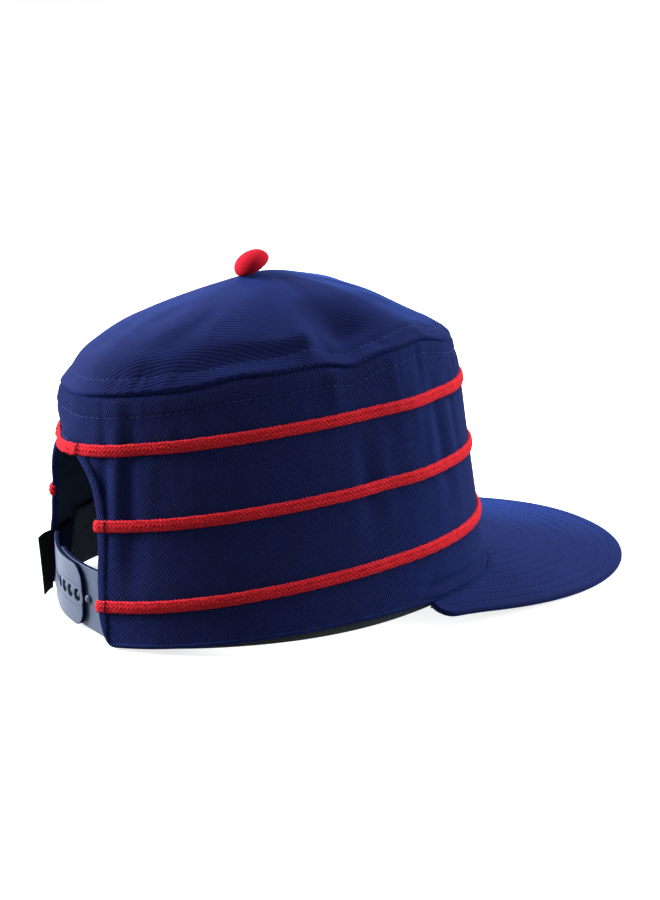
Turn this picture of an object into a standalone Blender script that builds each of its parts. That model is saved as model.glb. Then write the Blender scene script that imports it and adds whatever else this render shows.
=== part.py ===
"""A pillbox snapback cap, built the way the real one is sewn.

A tapering cloth wall stands under a tented top panel with a covered button. Three cords are sewn
round the wall, a flat brim joins it in front, a band lines its rim, and a two-piece plastic strap
closes the arched opening at the back.

Units are metres and +Z is up. The brim points to -Y, and the wearer's right side is -X. A turn is
an angle round the crown in degrees: 0 at the brim, 90 at the wearer's left, 180 at the back.
"""

import math
from collections import namedtuple

import bmesh
import bpy
from mathutils import Matrix, Vector

# Crown wall, on its outer face: reaches from the middle, at the rim and at the taper height
RIM_HALF_WIDTH = 0.0814
RIM_FRONT_REACH = 0.0974
RIM_BACK_REACH = 0.0993
TAPER_HEIGHT = 0.1000
TOP_HALF_WIDTH = 0.0556
TOP_FRONT_REACH = 0.0859
TOP_BACK_REACH = 0.0855
RIM_EGG_SHARE = 0.065
TOP_EGG_SHARE = 0.175
SQUARE_SHARE = 0.028
CLOTH = 0.0014
SEAT_GAP = 0.0003

# Heights of the wall's edges above the table: at the back, the sides and the front
RIM_BACK_LIFT = -0.0013
RIM_SIDE_LIFT = 0.0065
RIM_FRONT_LIFT = 0.0066
SEAM_BACK_HEIGHT = 0.0943
SEAM_SIDE_HEIGHT = 0.1045
SEAM_TEMPLE_HEIGHT = 0.1073
SEAM_FRONT_HEIGHT = 0.1039
WAVE_HEIGHT = 0.0028

# Top panel
EDGE_STAND = 0.0012
PEAK_HEIGHT = 0.1360
PEAK_AHEAD = 0.0020
DENT_DEPTH = 0.0050
DENT_FREE_SHARE = 0.05
FOLD_DEPTH = 0.0020

# Rear opening, an arch that widens towards the rim in rounded lower corners
OPENING_HALF_WIDTH = 0.0335
OPENING_HEIGHT = 0.0740
CORNER_WIDTH = 0.0110
CORNER_HEIGHT = 0.0340
ARCH_SQUARENESS = 2.4

# Cords sewn round the wall
CORD_WIDTH = 0.0048
CORD_THICKNESS = 0.0021
LOWER_CORD_HEIGHT = 0.0240
MIDDLE_CORD_HEIGHT = 0.0539
UPPER_CORD_OVER_OPENING = 0.0088
CORD_FALL = 0.0176
CORD_BOW = 0.0019
CORD_END_INSET = 0.0006

# Button on the peak
BUTTON_WIDTH = 0.0150
BUTTON_RISE = 0.0080
BUTTON_RIM_SHARE = 0.38
BUTTON_LEAN = 29.0
BUTTON_BACK = 0.0015

# Brim
BRIM_SIDE_REACH = 0.0061
BRIM_LENGTH = 0.0733
BRIM_WIDEST_BACK = 0.0384
BRIM_TAIL_BACK = 0.0650
BRIM_CORNER = 0.0050
BRIM_ROUNDNESS = 2.21
BRIM_HEIGHT = 0.0096
BRIM_FALL = 0.00634
BRIM_SIDE_DROP = 0.0060
BRIM_THICKNESS = 0.0016
BRIM_EDGE_ROUND = 0.0009
UNDER_THICKNESS = 0.0010
UNDER_INSET = 0.0006

# Band inside the rim
BAND_THICKNESS = 0.0012
BAND_HEIGHT = 0.0300
BAND_DROP = 0.0032
BAND_LOWEST = 0.0006
BAND_GAP = 0.00045

# Strap
STRAP_THICKNESS = 0.0018
STRAP_HEIGHT = 0.0250
STRAP_BOTTOM = 0.0025
STRAP_SAG = 0.0054
STRAP_LEAN_SHARE = 0.10
STRAP_HELD_LAP = 0.0065
STRAP_ROOT_LAP = 0.0145
OUTER_END_X = -0.0220
INNER_END_X = 0.0170
STRAP_END_RADIUS = 0.0075
SNAP_PITCH = 0.0072
STUD_CLEARANCE = 0.0011
STUD_COUNT = 6
HOLE_COUNT = 7
STUD_DIAMETER = 0.0034
STUD_RISE = 0.0022
HOLE_DIAMETER = 0.0054

# Label
LABEL_TOP = 0.0274
LABEL_HEIGHT = 0.0246
LABEL_TOP_DEPTH = 0.0066
LABEL_LOW_DEPTH = 0.0040
LABEL_LEAN = 0.0014
LABEL_DROOP = 0.0020
LABEL_THICKNESS = 0.0010
LABEL_HEADING = 112.0

# Faceting
COLUMNS = 72
WALL_ROWS = 6
CORD_SIDES = 8
BRIM_STEPS = 18
BRIM_SHARES = (0.34, 0.67)
STRAP_STEPS = 24
BUTTON_STEPS = 16

# The top panel's profile from its seam to its peak, as shares of the way in and the way up
Rise = namedtuple("Rise", "inward at_back at_front")
TENT = (
    Rise(0.000, 0.000, 0.000),
    Rise(0.035, 0.075, 0.050),
    Rise(0.090, 0.240, 0.170),
    Rise(0.180, 0.385, 0.305),
    Rise(0.300, 0.530, 0.470),
    Rise(0.440, 0.655, 0.660),
    Rise(0.600, 0.770, 0.815),
    Rise(0.760, 0.870, 0.920),
    Rise(0.900, 0.955, 0.985),
    Rise(1.000, 1.000, 1.000),
)

# Where the seam rises or dips, as shares of the wave height
Wave = namedtuple("Wave", "turn rise half_turn")
WAVES = (
    Wave(248, 0.50, 8.0),
    Wave(280, -1.00, 6.0),
    Wave(305, 0.85, 9.0),
)

# Where the wall goes in, as shares of the fold depth, at shares of the way from rim to seam
Fold = namedtuple("Fold", "turn height inward half_turn half_height")
FOLDS = (
    Fold(157, 0.62, -0.90, 13.0, 0.24),
    Fold(223, 0.70, 0.45, 6.0, 0.35),
    Fold(284, 0.62, 0.55, 6.0, 0.30),
    Fold(296, 0.75, -0.30, 6.0, 0.25),
    Fold(308, 0.82, 0.35, 5.0, 0.25),
    Fold(75, 0.60, 0.45, 9.0, 0.30),
    Fold(40, 0.75, 0.35, 8.0, 0.25),
)

# Where the top panel goes in, as shares of the dent depth, at shares of the way to the peak
Dent = namedtuple("Dent", "turn inward depth half_turn half_inward")
DENTS = (
    Dent(284, 0.20, 1.00, 11.0, 0.16),
    Dent(268, 0.20, -0.35, 5.0, 0.16),
    Dent(248, 0.09, 0.35, 16.0, 0.06),
    Dent(60, 0.22, 0.45, 14.0, 0.16),
    Dent(120, 0.12, 0.35, 16.0, 0.10),
)


def hex_colour(code):
    """An sRGB hex colour as linear RGBA."""
    channels = [int(code[i : i + 2], 16) / 255 for i in (0, 2, 4)]
    linear = [c / 12.92 if c <= 0.04045 else ((c + 0.055) / 1.055) ** 2.4 for c in channels]
    return (*linear, 1.0)


def material(name, code, roughness, metallic=0.0):
    made = bpy.data.materials.new(name)
    made.use_nodes = True
    shader = made.node_tree.nodes["Principled BSDF"]
    shader.inputs["Base Color"].default_value = hex_colour(code)
    shader.inputs["Roughness"].default_value = roughness
    shader.inputs["Metallic"].default_value = metallic
    return made


def ahead_of(turn):
    return math.cos(math.radians(turn))


def blend(low, high, share):
    return low + (high - low) * share


def through_three(back, side, front, ahead):
    """The quadratic that is back at -1, side at 0 and front at 1."""
    return side + (front - back) / 2 * ahead + ((front + back) / 2 - side) * ahead * ahead


def plan(turn, height):
    """A point on the crown's smooth outer face, seen from above."""
    share = height / TAPER_HEIGHT
    angle = math.radians(turn)
    across, ahead = math.sin(angle), math.cos(angle)
    width = blend(RIM_HALF_WIDTH, TOP_HALF_WIDTH, share)
    front = blend(RIM_FRONT_REACH, TOP_FRONT_REACH, share)
    back = blend(RIM_BACK_REACH, TOP_BACK_REACH, share)
    square = 1 + SQUARE_SHARE * math.sin(2 * angle) ** 2
    egg = 1 + blend(RIM_EGG_SHARE, TOP_EGG_SHARE, share) * ahead
    reach = front if ahead > 0 else back
    return Vector((width * across * square * egg, -reach * ahead * square))


def wall(turn, height, outward=0.0):
    """A point on the crown's outer face, or that far outside it."""
    here = plan(turn, height)
    step = plan(turn + 0.5, height) - plan(turn - 0.5, height)
    normal = Vector((step.y, -step.x)).normalized()
    if normal.dot(here) < 0:
        normal.negate()
    place = here + normal * (outward - fold_inward(turn, height))
    return Vector((place.x, place.y, height))


def rim_height(turn):
    return through_three(RIM_BACK_LIFT, RIM_SIDE_LIFT, RIM_FRONT_LIFT, ahead_of(turn))


def swell(offset, half_span):
    """A smooth rise to 1 that has faded at about twice its half span."""
    return math.exp(-((offset / half_span) ** 2))


def between_turns(turn, other):
    return (turn - other + 180) % 360 - 180


def seam_height(turn):
    """The seam's height: a curve through four heights, with its waves."""
    ahead = ahead_of(turn)
    knots = (
        (-1.0, SEAM_BACK_HEIGHT),
        (0.0, SEAM_SIDE_HEIGHT),
        (0.6, SEAM_TEMPLE_HEIGHT),
        (1.0, SEAM_FRONT_HEIGHT),
    )
    height = 0.0
    for knot, value in knots:
        for other, _ in knots:
            if other != knot:
                value *= (ahead - other) / (knot - other)
        height += value
    for wave in WAVES:
        across = swell(between_turns(turn, wave.turn), wave.half_turn)
        height += WAVE_HEIGHT * wave.rise * across
    return height


def fold_inward(turn, height):
    """How far the wall's folds take it in at a place."""
    share = height / SEAM_SIDE_HEIGHT
    inward = 0.0
    for fold in FOLDS:
        across = swell(between_turns(turn, fold.turn), fold.half_turn)
        inward += FOLD_DEPTH * fold.inward * across * swell(share - fold.height, fold.half_height)
    return inward


def cord_height(turn, middle):
    bow = CORD_BOW * math.sin(math.radians(turn)) ** 2
    slope = CORD_FALL / (RIM_FRONT_REACH + RIM_BACK_REACH)
    return middle - slope * plan(turn, middle).y + bow


def opening_half_width(height):
    """Half the rear opening's width at a height."""
    share = min(height / OPENING_HEIGHT, 1.0)
    arch = OPENING_HALF_WIDTH * (1 - share**ARCH_SQUARENESS) ** (1 / 3)
    drop = min(max(1 - height / CORNER_HEIGHT, 0.0), 1.0)
    return arch + CORNER_WIDTH * (1 - math.sqrt(1 - drop * drop))


def turn_at(across, height, outward=0.0):
    """The turn, behind the crown's middle, where the wall is this far to the wearer's left."""
    low, high = 90.0, 270.0
    for _ in range(40):
        middle = (low + high) / 2
        if wall(middle, height, outward).x > across:
            low = middle
        else:
            high = middle
    return (low + high) / 2


def add_object(name, mesh, look, collection):
    made = bpy.data.objects.new(name, mesh)
    mesh.materials.append(look)
    collection.objects.link(made)
    return made


def grid_mesh(name, rows, closed, peak=None):
    """A surface through rows of points; closed rows are rings; a peak closes the last row."""
    work = bmesh.new()
    placed = [[work.verts.new(point) for point in row] for row in rows]
    count = len(rows[0])
    spans = count if closed else count - 1
    for lower, upper in zip(placed, placed[1:]):
        for i in range(spans):
            j = (i + 1) % count
            work.faces.new((lower[i], lower[j], upper[j], upper[i]))
    if peak is not None:
        tip = work.verts.new(peak)
        for i in range(spans):
            work.faces.new((placed[-1][i], placed[-1][(i + 1) % count], tip))
    bmesh.ops.recalc_face_normals(work, faces=work.faces)
    mesh = bpy.data.meshes.new(name)
    work.to_mesh(mesh)
    work.free()
    return mesh


def loft_mesh(name, sections, closed=False):
    """A closed solid through sections that have as many points each."""
    work = bmesh.new()
    placed = [[work.verts.new(point) for point in section] for section in sections]
    count = len(sections[0])
    pairs = list(zip(placed, placed[1:]))
    if closed:
        pairs.append((placed[-1], placed[0]))
    for here, there in pairs:
        for i in range(count):
            j = (i + 1) % count
            work.faces.new((here[i], here[j], there[j], there[i]))
    if not closed:
        work.faces.new(placed[0])
        work.faces.new(placed[-1])
    bmesh.ops.recalc_face_normals(work, faces=work.faces)
    mesh = bpy.data.meshes.new(name)
    work.to_mesh(mesh)
    work.free()
    return mesh


def solidify(made, thickness):
    """Gives an open surface its thickness, inward from the face that shows."""
    thick = made.modifiers.new("cloth thickness", "SOLIDIFY")
    thick.thickness = thickness
    thick.offset = -1.0
    thick.use_even_offset = True
    return thick


def cut(made, cutter):
    hole = made.modifiers.new("cut by " + cutter.name, "BOOLEAN")
    hole.operation = "DIFFERENCE"
    hole.object = cutter
    hole.solver = "EXACT"


def join(made, added):
    union = made.modifiers.new("joined with " + added.name, "BOOLEAN")
    union.operation = "UNION"
    union.object = added
    union.solver = "EXACT"


def hide_cutter(cutter):
    cutter.hide_render = True
    cutter.display_type = "WIRE"


def column_turns():
    return [360.0 * i / COLUMNS for i in range(COLUMNS)]


def make_opening_cutter(look, cutters):
    """The arch that the rear opening is cut with, as a prism along Y."""
    heights = [CORNER_HEIGHT * share for share in (0.0, 0.025, 0.08, 0.17, 0.30, 0.50, 0.75)]
    heights += [OPENING_HEIGHT * share for share in (0.46, 0.56, 0.66, 0.76, 0.84, 0.91, 0.965)]
    right = [(-opening_half_width(height), height) for height in heights]
    outline = right + [(0.0, OPENING_HEIGHT)] + [(-x, z) for x, z in reversed(right)]
    below = RIM_SIDE_LIFT * 2
    outline = [(outline[0][0], -below)] + outline + [(outline[-1][0], -below)]
    near, far = RIM_BACK_REACH * 0.5, RIM_BACK_REACH * 1.3
    sections = [[Vector((x, y, z)) for x, z in outline] for y in (near, far)]
    cutter = add_object("opening_cutter", loft_mesh("opening_cutter", sections), look, cutters)
    hide_cutter(cutter)
    return cutter


def make_crown_side(look, parts, cutters):
    """The wall: rings from the rim up to the seam, given its thickness, then cut at the back."""
    rows = []
    for row in range(WALL_ROWS + 1):
        share = row / WALL_ROWS
        ring = []
        for turn in column_turns():
            height = blend(rim_height(turn), seam_height(turn) - SEAT_GAP, share)
            ring.append(wall(turn, height))
        rows.append(ring)
    side = add_object("crown_side", grid_mesh("crown_side", rows, True), look, parts)
    solidify(side, CLOTH)
    cut(side, make_opening_cutter(look, cutters))


def tent_point(turn, rise):
    """A point of the top panel, with its dents."""
    edge = wall(turn, seam_height(turn) + EDGE_STAND)
    peak = Vector((0.0, -PEAK_AHEAD, PEAK_HEIGHT))
    place = edge.lerp(peak, rise.inward)
    upward = blend(rise.at_back, rise.at_front, (1 + ahead_of(turn)) / 2)
    place.z = blend(edge.z, peak.z, upward)
    into = Vector((-edge.x, -edge.y, 0.0)).normalized() + Vector((0.0, 0.0, -1.0))
    for dent in DENTS:
        across = swell(between_turns(turn, dent.turn), dent.half_turn)
        along = swell(rise.inward - dent.inward, dent.half_inward)
        along *= min(rise.inward / DENT_FREE_SHARE, 1.0)
        place += into.normalized() * (DENT_DEPTH * dent.depth * across * along)
    return place


def make_crown_top(look, parts):
    """The tented panel: a short upright edge that stands on the wall, then rings up to the peak."""
    rows = [[wall(turn, seam_height(turn)) for turn in column_turns()]]
    rows += [[tent_point(turn, rise) for turn in column_turns()] for rise in TENT[:-1]]
    peak = tent_point(0.0, TENT[-1])
    top = add_object("crown_top", grid_mesh("crown_top", rows, True, peak), look, parts)
    solidify(top, CLOTH)


def make_cord_profile(cutters):
    """The cord's flattened section, which the cords are swept with."""
    shape = bpy.data.curves.new("cord_profile", "CURVE")
    line = shape.splines.new("POLY")
    line.points.add(CORD_SIDES - 1)
    line.use_cyclic_u = True
    for i, point in enumerate(line.points):
        angle = -math.radians(360 * (i + 0.5) / CORD_SIDES)
        across, upright = math.cos(angle) * CORD_THICKNESS / 2, math.sin(angle) * CORD_WIDTH / 2
        point.co = (across, upright, 0.0, 1.0)
    profile = bpy.data.objects.new("cord_profile", shape)
    cutters.objects.link(profile)
    hide_cutter(profile)
    return profile


def make_cord(name, middle, profile, look, parts):
    """A flattened cord along the wall: a loop, or open where it meets the rear opening."""
    outward = CORD_THICKNESS / 2 + SEAT_GAP
    at_back = cord_height(180.0, middle)
    closed = at_back > OPENING_HEIGHT - CORD_WIDTH
    turns = column_turns()
    if not closed:
        edge = opening_half_width(at_back) + CORD_END_INSET
        last = turn_at(edge, at_back)
        turns = [turn - 180 for turn in turns if abs(turn - 180) < last - 180 / COLUMNS]
        turns = [-last] + turns + [last]
    curve = bpy.data.curves.new(name, "CURVE")
    curve.dimensions = "3D"
    curve.twist_mode = "Z_UP"
    curve.bevel_mode = "OBJECT"
    curve.bevel_object = profile
    curve.use_fill_caps = True
    line = curve.splines.new("POLY")
    line.points.add(len(turns) - 1)
    line.use_cyclic_u = closed
    for point, turn in zip(line.points, turns):
        point.co = (*wall(turn, cord_height(turn, middle), outward), 1.0)
    add_object(name, curve, look, parts)


def tent_height(place):
    """The top panel's height at a place near its peak, seen from above."""
    turn = math.degrees(math.atan2(place.x, -place.y - PEAK_AHEAD))
    last, before = tent_point(turn, TENT[-1]), tent_point(turn, TENT[-2])
    share = (place.xy - last.xy).length / (before.xy - last.xy).length
    return blend(last.z, before.z, share)


def make_button(look, parts):
    """A covered button: a turned dome that leans backwards and rests on the panel by the peak."""
    radius = BUTTON_WIDTH / 2
    rim = BUTTON_RISE * BUTTON_RIM_SHARE
    profile = [(0.0, BUTTON_RISE)]
    for angle in (72, 54, 36, 18, 0, -25, -50):
        bend = math.radians(angle)
        reach = BUTTON_RISE - rim if angle >= 0 else rim
        profile.append((radius * math.cos(bend), rim + reach * math.sin(bend)))
    profile.append((0.0, profile[-1][1]))
    work = bmesh.new()
    points = [work.verts.new((x, 0.0, z)) for x, z in profile]
    for here, there in zip(points, points[1:]):
        work.edges.new((here, there))
    mesh = bpy.data.meshes.new("button")
    work.to_mesh(mesh)
    work.free()
    button = add_object("button", mesh, look, parts)
    turned = button.modifiers.new("turned", "SCREW")
    turned.steps = BUTTON_STEPS
    turned.render_steps = BUTTON_STEPS
    turned.use_merge_vertices = True
    turned.merge_threshold = 0.0001
    button.rotation_euler = (-math.radians(BUTTON_LEAN), 0.0, 0.0)
    lean = button.rotation_euler.to_matrix()
    lift = 0.0
    underside = [(reach, level) for reach, level in profile if level <= rim]
    for reach, level in underside:
        for way in range(0, 360, 45):
            aside = Vector((math.cos(math.radians(way)), math.sin(math.radians(way)), 0.0))
            place = lean @ (aside * reach + Vector((0.0, 0.0, level)))
            place.y += BUTTON_BACK
            lift = max(lift, tent_height(place) + SEAT_GAP - place.z)
    button.location = (0.0, BUTTON_BACK, lift)


def brim_top(across, y):
    """The height of the brim's upper face."""
    behind = y + RIM_FRONT_REACH
    aside = across / (RIM_HALF_WIDTH + BRIM_SIDE_REACH)
    return BRIM_HEIGHT + BRIM_FALL * behind / BRIM_LENGTH - BRIM_SIDE_DROP * aside**2


def brim_outline():
    """The brim's outer edge from its tail at the wearer's right, round the tip, to the left."""
    widest = -RIM_FRONT_REACH + BRIM_WIDEST_BACK
    tail = -RIM_FRONT_REACH + BRIM_TAIL_BACK
    reach = BRIM_LENGTH + BRIM_WIDEST_BACK
    power = 2 / BRIM_ROUNDNESS
    side = RIM_HALF_WIDTH + BRIM_SIDE_REACH
    half = []
    for angle in (90, 45, 0):
        bend = math.radians(angle)
        x = side - BRIM_CORNER + BRIM_CORNER * math.cos(bend)
        half.append((x, tail - BRIM_CORNER + BRIM_CORNER * math.sin(bend)))
    for step in range(BRIM_STEPS):
        bend = math.radians(90 * step / BRIM_STEPS)
        x = side * math.cos(bend) ** power
        half.append((x, widest - reach * math.sin(bend) ** power))
    right = [(-x, y) for x, y in half]
    return right + [(0.0, widest - reach)] + list(reversed(half))


def brim_sections(top_inset, thickness, edge_inset, edge_round):
    """Sections from the wall out to the brim's edge, top_inset below the brim's upper face."""
    outline = brim_outline()
    first = brim_root_turn()
    sections = []
    for i, point in enumerate(outline):
        turn = blend(-first, first, i / (len(outline) - 1))
        height = brim_top(*wall(turn, BRIM_HEIGHT).xy) - top_inset
        roots = [wall(turn, height, SEAT_GAP), wall(turn, height - thickness, SEAT_GAP)]
        edge = Vector(point)
        edge -= (edge - roots[0].xy).normalized() * edge_inset
        faces = []
        for root, depth in zip(roots, (top_inset, top_inset + thickness)):
            width = (edge - root.xy).length
            shares = (*BRIM_SHARES, 1.0 - edge_round / width)
            face = [root]
            for share in shares:
                place = root.xy.lerp(edge, share)
                face.append(Vector((*place, brim_top(*place) - depth)))
            faces.append(face)
        nose = []
        if edge_round:
            nose = [Vector((*edge, brim_top(*edge) - top_inset - thickness / 2))]
        sections.append(faces[0] + nose + list(reversed(faces[1])))
    return sections


def brim_root_turn():
    """The turn at which the brim's tail meets the wall."""
    tail = -RIM_FRONT_REACH + BRIM_TAIL_BACK
    low, high = 0.0, 90.0
    for _ in range(40):
        middle = (low + high) / 2
        if wall(middle, BRIM_HEIGHT).y < tail:
            low = middle
        else:
            high = middle
    return low


def make_brim(looks, parts):
    upper = brim_sections(0.0, BRIM_THICKNESS, 0.0, BRIM_EDGE_ROUND)
    add_object("brim", loft_mesh("brim", upper), looks["cloth"], parts)
    lower = brim_sections(BRIM_THICKNESS + SEAT_GAP, UNDER_THICKNESS, UNDER_INSET, 0.0)
    add_object("brim_under", loft_mesh("brim_under", lower), looks["under"], parts)


def make_sweatband(look, parts):
    """A band inside the wall from one strap root round the front to the other."""
    strap_root = OPENING_HALF_WIDTH + STRAP_ROOT_LAP
    end = turn_at(strap_root + STRAP_THICKNESS, BAND_HEIGHT / 2, -CLOTH)
    steps = round(COLUMNS * end / 180)
    sections = []
    for step in range(steps + 1):
        turn = blend(-end, end, step / steps)
        drop = BAND_DROP * math.sin(math.radians(turn)) ** 6
        low = max(rim_height(turn) - drop, BAND_LOWEST)
        high = low + BAND_HEIGHT
        face = -CLOTH - BAND_GAP
        section = [wall(turn, height, face) for height in (low, high)]
        section += [wall(turn, height, face - BAND_THICKNESS) for height in (high, low)]
        sections.append(section)
    add_object("sweatband", loft_mesh("sweatband", sections), look, parts)


def strap_place(x, height, layer, depth):
    """A point that deep behind a strap's outer face; layer 0 is the outer strap.

    Where the wall holds the strap it follows the wall; across the opening it sags and stands upright.
    """
    middle = STRAP_BOTTOM + STRAP_HEIGHT / 2
    turn = turn_at(x, middle)
    held = min(max(x / (OPENING_HALF_WIDTH + STRAP_HELD_LAP), -1.0), 1.0)
    step = STRAP_THICKNESS + SEAT_GAP
    root = CLOTH + SEAT_GAP + step * (held - 1) / 2
    inward = root + STRAP_SAG * (1 - abs(held) ** 3) + layer * step + depth
    lean = blend(STRAP_LEAN_SHARE, 1.0, held**8)
    place = wall(turn, middle + (height - middle) * lean, -inward)
    place.z = height
    return place


def strap_sections(root_x, end_x, layer):
    """Upright sections from the strap's root to its rounded free end."""
    toward = 1 if end_x > root_x else -1
    round_start = end_x - toward * STRAP_END_RADIUS
    places = [blend(root_x, round_start, i / STRAP_STEPS) for i in range(STRAP_STEPS + 1)]
    bends = [math.radians(angle) for angle in (30, 55, 75, 90)]
    places += [round_start + toward * STRAP_END_RADIUS * math.sin(bend) for bend in bends]
    sections = []
    for x in places:
        run = max((x - round_start) * toward, 0.0)
        shorter = STRAP_END_RADIUS - math.sqrt(max(STRAP_END_RADIUS**2 - run**2, 0.0))
        low = STRAP_BOTTOM + shorter
        high = STRAP_BOTTOM + STRAP_HEIGHT - shorter
        heights = (low, (low + high) / 2, high)
        section = [strap_place(x, height, layer, 0.0) for height in heights]
        section += [strap_place(x, height, layer, STRAP_THICKNESS) for height in reversed(heights)]
        sections.append(section)
    return sections


def snap_prism(name, x, layer, diameter, low, high, look, collection):
    """A round pin square to the strap, from low to high above the strap's outer face."""
    middle = STRAP_BOTTOM + STRAP_HEIGHT / 2
    foot = strap_place(x, middle, layer, -low)
    head = strap_place(x, middle, layer, -high)
    axis = (head - foot).normalized()
    work = bmesh.new()
    bmesh.ops.create_cone(
        work, cap_ends=True, segments=12, radius1=diameter / 2, radius2=diameter / 2, depth=high - low
    )
    turn = axis.to_track_quat("Z", "Y").to_matrix().to_4x4()
    work.transform(Matrix.Translation((foot + head) / 2) @ turn)
    mesh = bpy.data.meshes.new(name)
    work.to_mesh(mesh)
    work.free()
    made = add_object(name, mesh, look, collection)
    hide_cutter(made)
    return made


def make_straps(look, parts, cutters):
    root = OPENING_HALF_WIDTH + STRAP_ROOT_LAP
    outer = strap_sections(root, OUTER_END_X, 0)
    left = add_object("strap_left", loft_mesh("strap_left", outer), look, parts)
    inner = strap_sections(-root, INNER_END_X, 1)
    right = add_object("strap_right", loft_mesh("strap_right", inner), look, parts)
    first = OUTER_END_X - STUD_DIAMETER / 2 - STUD_CLEARANCE
    for i in range(HOLE_COUNT):
        x = first + SNAP_PITCH * (i + 1)
        reach = STRAP_THICKNESS * 2
        hole = snap_prism(f"hole_cutter_{i}", x, 0, HOLE_DIAMETER, -reach, reach, look, cutters)
        cut(left, hole)
    for i in range(STUD_COUNT):
        x = first + SNAP_PITCH * i
        sunk = STRAP_THICKNESS / 2
        stud = snap_prism(f"stud_{i}", x, 1, STUD_DIAMETER, -sunk, STUD_RISE, look, cutters)
        join(right, stud)


def make_label(look, parts):
    """A blank folded tab that hangs from the rear opening's edge at the wearer's left."""
    angle = math.radians(LABEL_HEADING)
    out = Vector((math.cos(angle), math.sin(angle), 0.0))
    across = Vector((math.sin(angle), -math.cos(angle), 0.0)) * LABEL_THICKNESS
    seat = opening_half_width(LABEL_TOP) - SEAT_GAP
    root = wall(turn_at(seat, LABEL_TOP), LABEL_TOP) - across
    root.y -= CLOTH / 2
    sections = []
    for share in (0.0, 0.35, 0.7, 1.0):
        top = root + out * (LABEL_TOP_DEPTH * share)
        top.z = LABEL_TOP - LABEL_DROOP * share * share
        low = root + out * (LABEL_LEAN + LABEL_LOW_DEPTH * share)
        low.z = top.z - LABEL_HEIGHT
        sections.append([top + across, low + across, low, top])
    add_object("label_tab", loft_mesh("label_tab", sections), look, parts)


def stand_on_origin(parts):
    """Moves the finished cap so that the origin lies under the middle of its box."""
    bpy.context.view_layer.update()
    corners = [made.matrix_world @ Vector(corner) for made in parts.objects for corner in made.bound_box]
    low = Vector([min(corner[axis] for corner in corners) for axis in range(3)])
    high = Vector([max(corner[axis] for corner in corners) for axis in range(3)])
    middle = (low + high) / 2
    for made in bpy.context.scene.objects:
        made.location -= Vector((middle.x, middle.y, low.z))


def clear_scene():
    for old in list(bpy.data.objects):
        bpy.data.objects.remove(old, do_unlink=True)


def main():
    clear_scene()
    parts = bpy.data.collections.new("snapback_cap")
    cutters = bpy.data.collections.new("cutters")
    bpy.context.scene.collection.children.link(parts)
    bpy.context.scene.collection.children.link(cutters)
    looks = {
        "cloth": material("navy twill", "27336b", 0.85),
        "cord": material("red braided cord", "c52732", 0.8),
        "button": material("red covered button", "cc2a3b", 0.8),
        "under": material("grey brim cloth", "9aa0ad", 0.85),
        "band": material("grey band cloth", "454f4f", 0.85),
        "strap": material("slate blue plastic", "7d8aa5", 0.4),
        "label": material("black label cloth", "191c20", 0.8),
    }
    make_crown_side(looks["cloth"], parts, cutters)
    make_crown_top(looks["cloth"], parts)
    heights = (
        ("cord_upper", OPENING_HEIGHT + UPPER_CORD_OVER_OPENING),
        ("cord_middle", MIDDLE_CORD_HEIGHT),
        ("cord_lower", LOWER_CORD_HEIGHT),
    )
    profile = make_cord_profile(cutters)
    for name, middle in heights:
        make_cord(name, middle, profile, looks["cord"], parts)
    make_button(looks["button"], parts)
    make_brim(looks, parts)
    make_sweatband(looks["band"], parts)
    make_straps(looks["strap"], parts, cutters)
    make_label(looks["label"], parts)
    stand_on_origin(parts)


main()
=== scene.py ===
# %% [markdown]
# A pillbox snapback cap, dressed for its picture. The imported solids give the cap's place and size.
# This lesson grows the parts that make it look sewn: wool twill with its ribs and puckers, braided
# cords, rows of stitches, a covered button, a quilted brim and a moulded plastic strap.
# Everything is in metres, +Z is up and the brim points to -Y.

# %% Load the frame
import math
import random
from collections import namedtuple

import bmesh
import bpy
import numpy as np
from mathutils import Matrix, Vector


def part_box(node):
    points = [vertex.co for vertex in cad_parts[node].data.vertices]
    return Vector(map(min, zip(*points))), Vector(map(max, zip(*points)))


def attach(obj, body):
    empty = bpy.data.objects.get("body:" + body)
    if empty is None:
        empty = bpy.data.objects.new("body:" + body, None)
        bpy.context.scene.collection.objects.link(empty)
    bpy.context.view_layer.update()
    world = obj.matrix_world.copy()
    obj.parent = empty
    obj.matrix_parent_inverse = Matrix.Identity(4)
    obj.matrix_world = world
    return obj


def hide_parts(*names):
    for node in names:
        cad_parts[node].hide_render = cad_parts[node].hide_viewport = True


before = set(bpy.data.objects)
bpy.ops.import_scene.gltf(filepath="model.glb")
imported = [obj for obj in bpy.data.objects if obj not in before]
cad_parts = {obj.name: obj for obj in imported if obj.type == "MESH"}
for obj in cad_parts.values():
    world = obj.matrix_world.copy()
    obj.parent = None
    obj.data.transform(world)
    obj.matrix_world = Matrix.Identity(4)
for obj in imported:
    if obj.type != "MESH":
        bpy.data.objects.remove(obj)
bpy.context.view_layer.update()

MM = 0.001
BODY = "root"

# %% [markdown]
# The crown is a cloth tube that narrows upwards, a little egg-shaped from above. Every detail has to
# lie on it, so the form comes first, as a few functions of a turn round the crown (0 at the brim, 90
# at the wearer's left, 180 at the back) and a height. The same sizes built the solids, and the
# frame's boxes say where the crown's middle stands. The last three folds are small ones that only
# the picture needs.

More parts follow.
